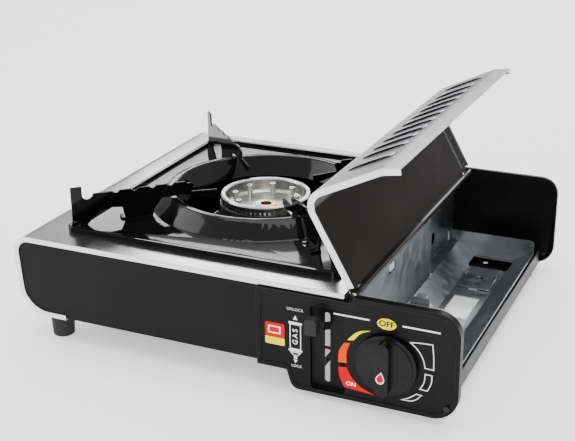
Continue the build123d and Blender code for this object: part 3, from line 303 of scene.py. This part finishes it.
def castMetal(name, colour, rough, turned=False):
    mat, tree, shader, vector = startMaterial(name, colour, rough, metal=1.0)
    touch = placeGroup(tree, handledSurface, vector, Size=80.0)
    base = mixColour(tree, touch.outputs["Smudge"], colour, tuple(c * 0.7 for c in colour))
    tree.links.new(base, shader.inputs["Base Color"])
    roughness = spread(tree, touch.outputs["Smudge"], rough - 0.05, rough + 0.12)
    tree.links.new(roughness, shader.inputs["Roughness"])
    if turned:
        centred = tree.nodes.new("ShaderNodeMapping")  # tool marks run round the burner's axis
        centred.inputs["Location"].default_value = (-burnerMid.x * mm, -burnerMid.y * mm, 0.0)
        tree.links.new(vector, centred.inputs["Vector"])
        rings = tree.nodes.new("ShaderNodeTexWave")
        rings.wave_type = "RINGS"
        rings.rings_direction = "Z"
        rings.inputs["Scale"].default_value = 260.0
        rings.inputs["Distortion"].default_value = 0.6
        tree.links.new(centred.outputs["Vector"], rings.inputs["Vector"])
        addBump(tree, shader, rings.outputs["Fac"], 0.25, 0.00006)
    else:
        skin = noiseNode(tree, vector, scale=900.0, detail=3.0, rough=0.6)
        addBump(tree, shader, skin, 0.4, 0.0001)
    return mat


def printInk(name, colour):
    mat, tree, shader, vector = startMaterial(name, colour, 0.5, level=0.04)
    touch = placeGroup(tree, handledSurface, vector, Size=120.0)
    base = mixColour(tree, touch.outputs["Speck"], colour, tuple(c * 0.75 for c in colour))
    tree.links.new(base, shader.inputs["Base Color"])
    tree.links.new(spread(tree, touch.outputs["Smudge"], 0.45, 0.58), shader.inputs["Roughness"])
    addBump(tree, shader, touch.outputs["Ripple"], 0.08, 0.00005)
    return mat


stainlessDeck = brushedMetal("stainlessDeck", (0.50, 0.495, 0.51), 0.2, (1.0, 40.0, 40.0), 0.08, 0.05)
stainlessLid = brushedMetal("stainlessLid", (0.33, 0.33, 0.35), 0.28, (40.0, 1.0, 40.0), 0.12, 0.10)
brightChrome = brushedMetal("brightChrome", (0.78, 0.78, 0.79), 0.12, (1.0, 12.0, 12.0), 0.04, 0.03)
blackEnamel = glossPaint("blackEnamel", (0.002, 0.002, 0.0022), 0.06, 0.08, ripple=0.12, size=24.0,
                         dust=0.002, level=0.16)
blackPanelPaint = glossPaint("blackPanelPaint", (0.0035, 0.0035, 0.0038), 0.34, 0.0, ripple=0.05,
                             dust=0.0015, level=0.12)
# the lid's inner faces get a dark brown gloss colour, unlike the steel outside
lidInnerDarkBrown = glossPaint("lidInnerDarkBrown", (0.010, 0.008, 0.0068), 0.14, 0.0, ripple=0.05, size=14.0,
                           dust=0.004, level=0.14)
railPaint = glossPaint("railPaint", (0.010, 0.010, 0.0105), 0.36, 0.0, ripple=0.08, dust=0.004, level=0.25)
zincPlate = zincSheet("zincPlate", (0.30, 0.32, 0.335))
# the base pan is made near-black: painted shade for the dark inside of the stove body
panPaintedShade = glossPaint("panPaintedShade", (0.006, 0.006, 0.0062), 0.4, 0.0, ripple=0.08, dust=0.003, level=0.2)
castAluminium = castMetal("castAluminium", (0.50, 0.50, 0.49), 0.38)
darkCasting = castMetal("darkCasting", (0.10, 0.10, 0.098), 0.42)
turnedAluminium = castMetal("turnedAluminium", (0.44, 0.44, 0.435), 0.26, turned=True)
postAluminium = castMetal("postAluminium", (0.74, 0.74, 0.73), 0.28)
ringMetal = castMetal("ringMetal", (0.34, 0.33, 0.32), 0.34)
dullBrass = castMetal("dullBrass", (0.62, 0.45, 0.22), 0.3)
knobPlastic = mouldedPlastic("knobPlastic", (0.003, 0.003, 0.0032), 0.3, 0.1, level=0.18)
gripPlastic = mouldedPlastic("gripPlastic", (0.012, 0.012, 0.0125), 0.4, 0.25, level=0.2)
darkRubber = mouldedPlastic("darkRubber", (0.012, 0.012, 0.012), 0.72, 0.45)
glazedCeramic = glossPaint("glazedCeramic", (0.72, 0.70, 0.66), 0.16, 0.6, worn=(0.5, 0.48, 0.44),
                           dust=0.0)
wireSleeve = mouldedPlastic("wireSleeve", (0.30, 0.02, 0.015), 0.4, 0.1)
whiteInk = printInk("whiteInk", (0.90, 0.90, 0.89))
yellowInk = printInk("yellowInk", (0.95, 0.83, 0.0))
orangeInk = printInk("orangeInk", (0.90, 0.06, 0.0))
redInk = printInk("redInk", (0.66, 0.002, 0.003))
blackInk = printInk("blackInk", (0.008, 0.008, 0.008))
print("materials ready")

nodeMaterials = {
    "stainless": stainlessDeck,
    "black_panel": blackPanelPaint,
    "galvanised": zincPlate,
    "black_steel": railPaint,
    "black_enamel": blackEnamel,
    "cast_aluminium": castAluminium,
    "burner_brass": dullBrass,
    "bright_steel": brightChrome,
    "black_plastic": knobPlastic,
    "grey_plastic": gripPlastic,
    "rubber": darkRubber,
    "white_ceramic": glazedCeramic,
    "wire_sleeve": wireSleeve,
}
specialNodes = {
    # the base pan's near-black colour is painted shade for the body's inside
    "base_pan": panPaintedShade,
    "burner_bowl": turnedAluminium,
    "burner_posts": postAluminium,
    "burner_base": darkCasting,
    "flame_ring": ringMetal,
    "canister_carriage": zincPlate,
    "diaphragm_cap": zincPlate,
    "lock_lever": railPaint,
    "support_rivets": blackEnamel,
}
for nodeName, node in nodes.items():
    chosen = specialNodes.get(nodeName, nodeMaterials[slotOfNode[nodeName]])
    if not node.data.materials:
        node.data.materials.append(chosen)
    for index in range(len(node.material_slots)):
        node.material_slots[index].material = chosen


def newPiece(name, bm, materials, body, covers=()):
    mesh = bpy.data.meshes.new(name)
    bm.to_mesh(mesh)
    bm.free()
    for mat in materials:
        mesh.materials.append(mat)
    obj = bpy.data.objects.new(name, mesh)
    bpy.context.scene.collection.objects.link(obj)
    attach(obj, body)
    if covers:
        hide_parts(*covers)
    return obj


shellEdges = {"cornerAngle": 40.0, "sharpAngle": 50.0, "flatAngle": 0.6, "frontDepth": 0.05}


def copyShell(nodeName, pieceName, materials, pick=None, bevel=0.25, segments=2, sink=0.0):
    # a finished copy of a CAD shell: doubles merged, flat faces joined, edges eased
    bm = bmesh.new()
    bm.from_mesh(nodes[nodeName].data)
    if sink:  # the frontmost face steps back, to leave room for printing on it
        frontmost = min(v.co.y for v in bm.verts)
        for v in bm.verts:
            if v.co.y < frontmost + shellEdges["frontDepth"] * mm:
                v.co.y += sink * mm
    bmesh.ops.remove_doubles(bm, verts=bm.verts, dist=1e-6)
    bmesh.ops.dissolve_limit(bm, angle_limit=radians(shellEdges["flatAngle"]), verts=bm.verts, edges=bm.edges,
                             use_dissolve_boundaries=False, delimit={"NORMAL"})
    for face in bm.faces:
        face.smooth = True
        face.material_index = pick(face) if pick else 0
    obj = newPiece(pieceName, bm, materials, bodyOfNode[nodeName], (nodeName,))
    ease = obj.modifiers.new("easedEdges", "BEVEL")
    ease.width = bevel * mm
    ease.segments = segments
    ease.limit_method = "ANGLE"
    ease.angle_limit = radians(shellEdges["cornerAngle"])
    obj.data.set_sharp_from_angle(angle=radians(shellEdges["sharpAngle"]))


def nearEnds(y, ends, depth):
    return y < ends[0] + depth or y > ends[1] - depth


flangeEnds = [corner[1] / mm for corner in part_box("top_panel")]
flangeDepth, flangeFaceDepth = 0.9, 1.2  # a flange's edge, and its flat face


def pickTopPanel(face):
    mid = face.calc_center_median() / mm
    return 1 if nearEnds(mid.y, flangeEnds, flangeDepth) else 0


# the lid stands open by its turn: lengths across it and out of it, from the hinge
lidShape = {
    "turn": 119.0, "centreAcross": 37.0, "centreOut": -28.0,
    "span": 74.2, "top": 2.4, "sideDrop": 60.0, "sideLean": 3.87,
}
lidTurn = radians(lidShape["turn"])
acrossLid = Vector((cos(lidTurn), 0, sin(lidTurn)))
outOfLid = Vector((-sin(lidTurn), 0, cos(lidTurn)))
lidEnds = [corner[1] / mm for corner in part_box("lid")]
lidCentre = hingeMid + acrossLid * lidShape["centreAcross"] + outOfLid * lidShape["centreOut"]


def pickLid(face):
    mid = face.calc_center_median() / mm
    facesEnd = abs(face.normal.y) > 0.9
    if nearEnds(mid.y, lidEnds, flangeFaceDepth if facesEnd else flangeDepth):
        return 2
    inward = lidCentre - mid
    inward.y = 0
    return 1 if face.normal.dot(inward) > 0 else 0


# widths of the eased edges are in millimetres
shells = {
    "top_panel": ("topPanelShell", [stainlessDeck, brightChrome], {"pick": pickTopPanel, "bevel": 0.3}),
    "lid": ("lidShell", [stainlessLid, lidInnerDarkBrown, brightChrome], {"pick": pickLid}),
    "control_panel": ("controlPanelShell", [blackPanelPaint], {"bevel": 0.5, "segments": 3}),
    "front_panel": ("frontPanelShell", [blackPanelPaint], {}),
    "back_panel": ("backPanelShell", [blackPanelPaint], {}),
    "knob": ("knobShell", [knobPlastic], {"bevel": 1.1, "segments": 4, "sink": 0.2}),
    "lever_grip": ("gripShell", [gripPlastic], {"bevel": 2.0, "segments": 4}),
    "burner_bowl": ("bowlShell", [turnedAluminium], {}),
    "burner_posts": ("postShells", [postAluminium], {}),
    "drip_tray": ("trayShell", [blackEnamel], {"bevel": 0.35}),
    "canister_tray": ("cradleShell", [zincPlate], {}),
    "canister_carriage": ("carriageShell", [zincPlate], {"bevel": 0.2}),
}
for corner in ("front_left", "front_right", "back_left", "back_right"):
    shells["pan_support_" + corner] = ("panSupport_" + corner, [blackEnamel], {"bevel": 0.35})
for nodeName, (pieceName, materials, finish) in shells.items():
    copyShell(nodeName, pieceName, materials, **finish)

# pressed hoods beside the lid's cooling slots
hoods = {
    "fromCorner": 23.0, "length": 33.0, "run": 9.0, "rise": 1.2, "wall": 0.35,
    "pitch": 19.7, "count": 9, "endReach": 105.0, "shift": 4.0, "setBack": 0.66, "lift": 0.02,
}
sideStart = hingeMid + acrossLid * lidShape["span"] + outOfLid * lidShape["top"]
sideDirection = (-outOfLid * lidShape["sideDrop"] - acrossLid * lidShape["sideLean"]).normalized()
sideOut = Vector((-sideDirection.z, 0, sideDirection.x))
if sideOut.z < 0:
    sideOut = -sideOut


def addHood(index, y):
    bm = bmesh.new()
    bmesh.ops.create_grid(bm, x_segments=16, y_segments=5, size=1.0)
    for v in bm.verts:
        along, across = v.co.x, (v.co.y + 1) / 2
        swell = sqrt(max(0.0, 1 - along * along)) * cos(across * pi / 2) ** 0.8
        lift = hoods["rise"] * swell + hoods["lift"]
        s = hoods["fromCorner"] + hoods["length"] * (along + 1) / 2
        place = sideStart + sideDirection * s + sideOut * lift
        v.co = (place.x * mm, (y + hoods["setBack"] + hoods["run"] * across) * mm, place.z * mm)
    bmesh.ops.recalc_face_normals(bm, faces=bm.faces)
    for face in bm.faces:
        face.smooth = True
        if face.normal.dot(sideOut) < 0:
            face.normal_flip()
    obj = newPiece("louvreHood_%02d" % index, bm, [stainlessLid], "canister_lid")
    wall = obj.modifiers.new("wall", "SOLIDIFY")
    wall.thickness = hoods["wall"] * mm
    wall.offset = 1.0


hoodMid = sum(lidEnds) / 2 + hoods["shift"]
hoodRows = [hoodMid + (i - (hoods["count"] - 1) / 2) * hoods["pitch"] for i in range(hoods["count"])]
hoodRows += [hoodMid - hoods["endReach"], hoodMid + hoods["endReach"]]
for hoodIndex, hoodY in enumerate(hoodRows):
    addHood(hoodIndex, hoodY)
print("shells ready")

# the panel stands out from the flange, and its printed field is pressed in by the bezel's height
panelPrint = {"standOut": 2.5, "bezel": 1.0, "ink": 0.05, "capsToSize": 1.38}
inkThickness = panelPrint["ink"]
fieldY = flangeEnds[0] - panelPrint["standOut"] + panelPrint["bezel"] - inkThickness
secondInkY = fieldY - inkThickness  # ink printed over other ink


def newPrint(name, curve, place, mat, body):
    # a curve or a text laid flat becomes a thin mesh, and is then put in its place
    curve.extrude = inkThickness / 2 * mm
    holder = bpy.data.objects.new(name + "Curve", curve)
    bpy.context.scene.collection.objects.link(holder)
    bpy.context.view_layer.update()
    mesh = bpy.data.meshes.new_from_object(holder)
    mesh.name = name
    bpy.data.objects.remove(holder)
    mesh.transform(place)
    mesh.materials.clear()
    mesh.materials.append(mat)
    obj = bpy.data.objects.new(name, mesh)
    bpy.context.scene.collection.objects.link(obj)
    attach(obj, body)


def printedShape(name, outlines, mat, y=fieldY, body="stove_body", slotName="black_panel"):
    # outlines are lists of (x, z) in millimetres; an outline inside another makes a hole
    curve = bpy.data.curves.new(name, "CURVE")
    curve.dimensions = "2D"
    curve.fill_mode = "BOTH"
    for outline in outlines:
        spline = curve.splines.new("POLY")
        spline.points.add(len(outline) - 1)
        for point, (x, z) in zip(spline.points, outline):
            point.co = (x * mm, z * mm, 0, 1)
        spline.use_cyclic_u = True
    upright = Matrix.Rotation(radians(90), 4, "X")
    newPrint(name, curve, Matrix.Translation((0, y * mm, 0)) @ upright, mat, body)


def printedText(name, words, x, z, height, mat, turn=0.0, width=1.0, y=fieldY, bold=0.04, spacing=1.0):
    text = bpy.data.curves.new(name, "FONT")
    text.body = words
    text.size = height * mm * panelPrint["capsToSize"]
    text.align_x = "CENTER"
    text.align_y = "CENTER"
    text.space_character = spacing
    text.offset = bold * mm
    place = Matrix.Translation((x * mm, y * mm, z * mm))
    upright = Matrix.Rotation(radians(90), 4, "X") @ Matrix.Rotation(radians(turn), 4, "Z")
    stretch = Matrix.Scale(width, 4, (1, 0, 0))
    newPrint(name, text, place @ upright @ stretch, mat, "stove_body")


def ovalPoints(x, z, halfWidth, halfHeight, count=48):
    turns = [2 * pi * i / count for i in range(count)]
    return [(x + halfWidth * cos(a), z + halfHeight * sin(a)) for a in turns]


def roundedBox(x, z, halfWidth, halfHeight, radius, count=6):
    points = []
    for sideX, sideZ, start in ((1, 1, 0), (-1, 1, 90), (-1, -1, 180), (1, -1, 270)):
        for i in range(count + 1):
            a = radians(start + 90 * i / count)
            cornerX, cornerZ = x + sideX * (halfWidth - radius), z + sideZ * (halfHeight - radius)
            points.append((cornerX + radius * cos(a), cornerZ + radius * sin(a)))
    return points


def smoothThrough(points, perSpan=8):
    # open Catmull-Rom run through a few points
    run = []
    padded = [points[0]] + list(points) + [points[-1]]
    for i in range(1, len(padded) - 2):
        p0, p1, p2, p3 = padded[i - 1], padded[i], padded[i + 1], padded[i + 2]
        for step in range(perSpan):
            t = step / perSpan
            run.append(tuple(
                0.5 * (2 * b + (c - a) * t + (2 * a - 5 * b + 4 * c - d) * t * t
                       + (3 * b - a - 3 * c + d) * t ** 3)
                for a, b, c, d in zip(p0, p1, p2, p3)))
    run.append(tuple(points[-1]))
    return run


# runs of points from the dial's middle, in millimetres
dialMarks = {
    "shift": (-0.6, -1.4),
    "frameLine": 0.62,
    "yellowOuter": [(-27.2, 13.1), (-20.0, 20.3), (-11.0, 22.9)],
    "yellowInner": [(-11.0, 22.9), (-18.0, 19.3), (-22.9, 13.6)],
    "orangeOuter": [(-33.5, -4.7), (-33.0, 3.6), (-29.7, 10.4)],
    "orangeInner": [(-25.2, 11.3), (-27.6, 3.6), (-27.5, -4.1)],
    "redOuter": [(-29.2, -22.4), (-32.4, -15.4), (-33.6, -8.0)],
    "redInner": [(-27.6, -7.2), (-23.4, -14.5), (-17.3, -19.8), (-7.6, -23.9)],
    "topEdge": [(15.1, 20.2), (23.0, 21.2), (31.0, 21.6)],
    "topSide": [(32.0, 12.0), (32.2, 3.1)],
    "topReturn": [(25.9, 3.3), (24.4, 9.6), (20.6, 15.6), (15.6, 19.9)],
    "middleOuter": [(31.3, -0.5), (30.8, -7.0), (28.3, -12.9)],
    "middleInner": [(22.7, -12.5), (25.4, -7.0), (26.2, -0.2)],
    "bottomEdge": [(21.1, -16.0), (25.1, -16.4)],
    "bottomOuter": [(21.6, -20.4), (17.3, -22.6), (9.2, -23.4)],
    "bottomReturn": [(14.6, -20.9), (21.1, -16.0)],
}
dialX, dialZ = knobMid.x + dialMarks["shift"][0], knobMid.z + dialMarks["shift"][1]


def dialRun(name):
    return smoothThrough(dialMarks[name])


def aroundKnob(points):
    return [(dialX + x, dialZ + z) for x, z in points]


def lineFrame(outline, width):
    # the outline, and a copy of it drawn in by the line's width
    cx = sum(p[0] for p in outline) / len(outline)
    cz = sum(p[1] for p in outline) / len(outline)
    count = len(outline)
    inner = []
    for i in range(count):
        before, here, after = outline[i - 1], outline[i], outline[(i + 1) % count]
        dirA = Vector((here[0] - before[0], here[1] - before[1])).normalized()
        dirB = Vector((after[0] - here[0], after[1] - here[1])).normalized()
        normalA, normalB = Vector((-dirA.y, dirA.x)), Vector((-dirB.y, dirB.x))
        mitre = normalA + normalB
        mitre = mitre.normalized() if mitre.length > 1e-6 else normalA
        reach = width / max(0.35, mitre.dot(normalA))
        if mitre.dot(Vector((cx - here[0], cz - here[1]))) < 0:
            mitre = -mitre
        inner.append((here[0] + mitre.x * reach, here[1] + mitre.y * reach))
    return [outline, inner]


colourBands = {
    "printYellowArc": (dialRun("yellowOuter") + dialRun("yellowInner")[1:], yellowInk),
    "printOrangeArc": (dialRun("orangeOuter") + dialRun("orangeInner"), orangeInk),
    "printRedArc": (dialRun("redOuter") + dialRun("redInner"), redInk),
}
for bandName, (band, ink) in colourBands.items():
    printedShape(bandName, [aroundKnob(band)], ink)
whiteFrames = {
    "printFrameTop": dialRun("topEdge") + dialRun("topSide") + dialRun("topReturn")[:-1],
    "printFrameMiddle": dialRun("middleOuter") + dialRun("middleInner"),
    "printFrameBottom": dialRun("bottomEdge") + dialRun("bottomOuter") + dialRun("bottomReturn")[1:-1],
}
for frameName, outline in whiteFrames.items():
    printedShape(frameName, lineFrame(aroundKnob(outline), dialMarks["frameLine"]), whiteInk)

topLines = {"ends": [(84.9, 109.9), (132.2, 157.3)], "level": 66.0, "half": 0.55}
lineLow, lineHigh = topLines["level"] - topLines["half"], topLines["level"] + topLines["half"]
for index, (x0, x1) in enumerate(topLines["ends"]):
    bar = [(x0, lineLow), (x1, lineLow), (x1, lineHigh), (x0, lineHigh)]
    printedShape("printLine_%d" % index, [bar], whiteInk)

offSign = {"shift": -0.3, "level": 65.3, "halfWidth": 6.5, "halfHeight": 3.95, "letters": 4.1}
onSign = {"shift": -24.4, "level": 16.4, "letters": 2.9}
offX = dialX + offSign["shift"]
printedShape("printOffOval", [ovalPoints(offX, offSign["level"], offSign["halfWidth"], offSign["halfHeight"])],
             yellowInk)
printedText("printOff", "OFF", offX, offSign["level"], offSign["letters"], blackInk, width=1.06, y=secondInkY,
            bold=0.12)
printedText("printOn", "ON", dialX + onSign["shift"], onSign["level"], onSign["letters"], whiteInk, width=1.1,
            y=secondInkY, bold=0.1)

lockWords = {"letters": 2.1, "unlock": (57.4, 63.4), "lock": (58.2, 21.4)}
for pieceName, word in (("printUnlock", "unlock"), ("printLock", "lock")):
    wordX, wordZ = lockWords[word]
    printedText(pieceName, word.upper(), wordX, wordZ, lockWords["letters"], whiteInk, width=0.95, bold=-0.03,
                spacing=1.1)

# an upright canister with arrows above and below it
canSign = {
    "x": 57.4, "z": 43.3, "halfWidth": 4.1, "halfHeight": 9.4, "line": 0.6, "letters": 3.7,
    "rimHalfWidth": 4.9, "rimHalf": 0.75, "capZ": 53.5, "footZ": 33.1,
    "neck": [(-4.2, 31.9), (4.2, 31.9), (1.8, 29.2), (-1.8, 29.2)], "tipZ": 27.8, "tipHalf": (1.2, 0.9),
    "arrowUp": [(-1.6, 56.0), (1.6, 56.0), (0.0, 59.2)],
    "arrowDown": [(-1.5, 26.2), (0.0, 23.6), (1.5, 26.2)],
}
canX, canZ = canSign["x"], canSign["z"]
canHalfX, canHalfZ, canLine = canSign["halfWidth"], canSign["halfHeight"], canSign["line"]


def besideCan(points):
    return [(canX + x, z) for x, z in points]


printedShape("printCanBody", [roundedBox(canX, canZ, canHalfX, canHalfZ, 0.4),
                              roundedBox(canX, canZ, canHalfX - canLine, canHalfZ - canLine, 0.2)], whiteInk)
for pieceName, rimZ in (("printCanCap", canSign["capZ"]), ("printCanFoot", canSign["footZ"])):
    rim = roundedBox(canX, rimZ, canSign["rimHalfWidth"], canSign["rimHalf"], 0.3)
    printedShape(pieceName, [rim], whiteInk)
printedShape("printCanNeck", lineFrame(besideCan(canSign["neck"]), canLine), whiteInk)
printedShape("printCanTip", [roundedBox(canX, canSign["tipZ"], *canSign["tipHalf"], 0.2)], whiteInk)
printedShape("printArrowUp", [besideCan(canSign["arrowUp"])], whiteInk)
printedShape("printArrowDown", [besideCan(canSign["arrowDown"])], whiteInk)
printedText("printGas", "GAS", canX, canZ, canSign["letters"], whiteInk, turn=90, bold=0.06, spacing=1.42)

# two-colour sign: middle x and z, half sizes, corner radius
colourSign = {
    "red": (42.3, 45.6, 7.2, 5.4, 1.2),
    "yellow": (42.3, 37.6, 7.2, 2.9, 1.2),
    "frameOuter": (42.0, 45.8, 4.7, 2.9, 0.9),
    "frameInner": (42.0, 45.8, 3.6, 1.9, 0.5),
}
printedShape("signRed", [roundedBox(*colourSign["red"])], redInk)
printedShape("signYellow", [roundedBox(*colourSign["yellow"])], yellowInk)
printedShape("signFrame", [roundedBox(*colourSign["frameOuter"]), roundedBox(*colourSign["frameInner"])], whiteInk,
             y=secondInkY)

# flame sign on the knob's ridge, in the room that the sunk face leaves
flameSign = {
    "shift": (-0.9, -5.2), "fill": 0.76,
    "outline": [(0.9, 4.6), (2.0, 2.2), (3.0, -0.4), (2.6, -2.8), (0.4, -4.2), (-2.0, -3.4), (-2.9, -0.9),
                (-2.0, 1.2), (-0.6, 2.8), (0.9, 4.6)],
}
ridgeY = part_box("knob")[0][1] / mm + shells["knob"][2]["sink"] - inkThickness / 2
flameX, flameZ = knobMid.x + flameSign["shift"][0], knobMid.z + flameSign["shift"][1]
flameOutline = smoothThrough(flameSign["outline"])[:-1]


def flamePoints(scale):
    return [(flameX + x * scale, flameZ + z * scale) for x, z in flameOutline]


onKnob = {"y": ridgeY, "body": "control_knob", "slotName": "black_plastic"}
printedShape("signFlameEdge", [flamePoints(1.0), flamePoints(flameSign["fill"])], whiteInk, **onKnob)
printedShape("signFlame", [flamePoints(flameSign["fill"])], redInk, **onKnob)
print("printing ready")


studio = {
    "floorHalf": 6.0,
    "floorGlow": 0.6,
    "world": 1.3,
    "horizon": 0.35,
    "rise": (0.2, 0.5),
    "areas": [
        ("softTop", (0.0, 0.2, 1.9), (0.0, 0.0, 0.05), 1.6, 1.2, 26.0),
        ("softLeft", (-1.7, -0.5, 1.2), (0.0, 0.0, 0.05), 1.4, 1.0, 18.0),
        ("softFront", (0.9, -2.1, 1.1), (0.0, 0.0, 0.05), 1.2, 0.8, 14.0),
        ("stripBack", (-0.3, 1.7, 0.9), (0.0, 0.0, 0.08), 1.8, 0.45, 16.0),
    ],
}


def addStage():
    bm = bmesh.new()
    bmesh.ops.create_grid(bm, x_segments=1, y_segments=1, size=studio["floorHalf"])
    mesh = bpy.data.meshes.new("studioFloor")
    bm.to_mesh(mesh)
    bm.free()
    floor = bpy.data.objects.new("studioFloor", mesh)
    bpy.context.scene.collection.objects.link(floor)
    mat, tree, shader, vector = startMaterial("paleFloor", (0.93, 0.93, 0.93), 0.7, level=0.1)
    cloud = noiseNode(tree, vector, scale=3.0, detail=3.0, rough=0.5)
    tree.links.new(mixColour(tree, cloud, (0.92, 0.92, 0.92), (0.94, 0.94, 0.94)), shader.inputs["Base Color"])
    shader.inputs["Emission Color"].default_value = (1.0, 1.0, 1.0, 1.0)
    shader.inputs["Emission Strength"].default_value = studio["floorGlow"]
    mesh.materials.append(mat)


def addLights():
    world = bpy.data.worlds.new("studioWorld")
    bpy.context.scene.world = world
    world.use_nodes = True
    tree = world.node_tree
    back = tree.nodes["Background"]
    back.inputs["Strength"].default_value = studio["world"]
    place = tree.nodes.new("ShaderNodeTexCoord")
    parts = tree.nodes.new("ShaderNodeSeparateXYZ")
    tree.links.new(place.outputs["Generated"], parts.inputs["Vector"])
    rise = tree.nodes.new("ShaderNodeMapRange")  # dim near the horizon, bright overhead
    rise.inputs["From Min"].default_value, rise.inputs["From Max"].default_value = studio["rise"]
    rise.inputs["To Min"].default_value = studio["horizon"]
    tree.links.new(parts.outputs["Z"], rise.inputs["Value"])
    tree.links.new(rise.outputs["Result"], back.inputs["Color"])
    for name, spot, target, width, height, power in studio["areas"]:
        lamp = bpy.data.lights.new(name, "AREA")
        lamp.shape = "RECTANGLE"
        lamp.size = width
        lamp.size_y = height
        lamp.energy = power
        obj = bpy.data.objects.new(name, lamp)
        bpy.context.scene.collection.objects.link(obj)
        obj.location = spot
        obj.rotation_euler = (Vector(target) - Vector(spot)).to_track_quat("-Z", "Y").to_euler()


# place in metres, angles in degrees, lens and sensor in millimetres
viewFrom = {
    "place": (0.3429, -0.7625, 0.4021),
    "heading": 24.73,
    "tilt": -21.7,
    "roll": -0.74,
    "lens": 72.82,
    "sensor": 36.0,
    "near": 0.05,
    "far": 30.0,
}


def addCamera():
    lens = bpy.data.cameras.new("viewCamera")
    lens.sensor_width, lens.lens = viewFrom["sensor"], viewFrom["lens"]
    lens.clip_start, lens.clip_end = viewFrom["near"], viewFrom["far"]
    camera = bpy.data.objects.new("viewCamera", lens)
    bpy.context.scene.collection.objects.link(camera)
    heading = Matrix.Rotation(radians(viewFrom["heading"]), 3, "Z")
    tilt = Matrix.Rotation(radians(90 + viewFrom["tilt"]), 3, "X")
    roll = Matrix.Rotation(radians(viewFrom["roll"]), 3, "Z")
    camera.rotation_euler = (heading @ tilt @ roll).to_euler()
    camera.location = viewFrom["place"]
    bpy.context.scene.camera = camera


addStage()
addLights()
addCamera()
print("stage ready")
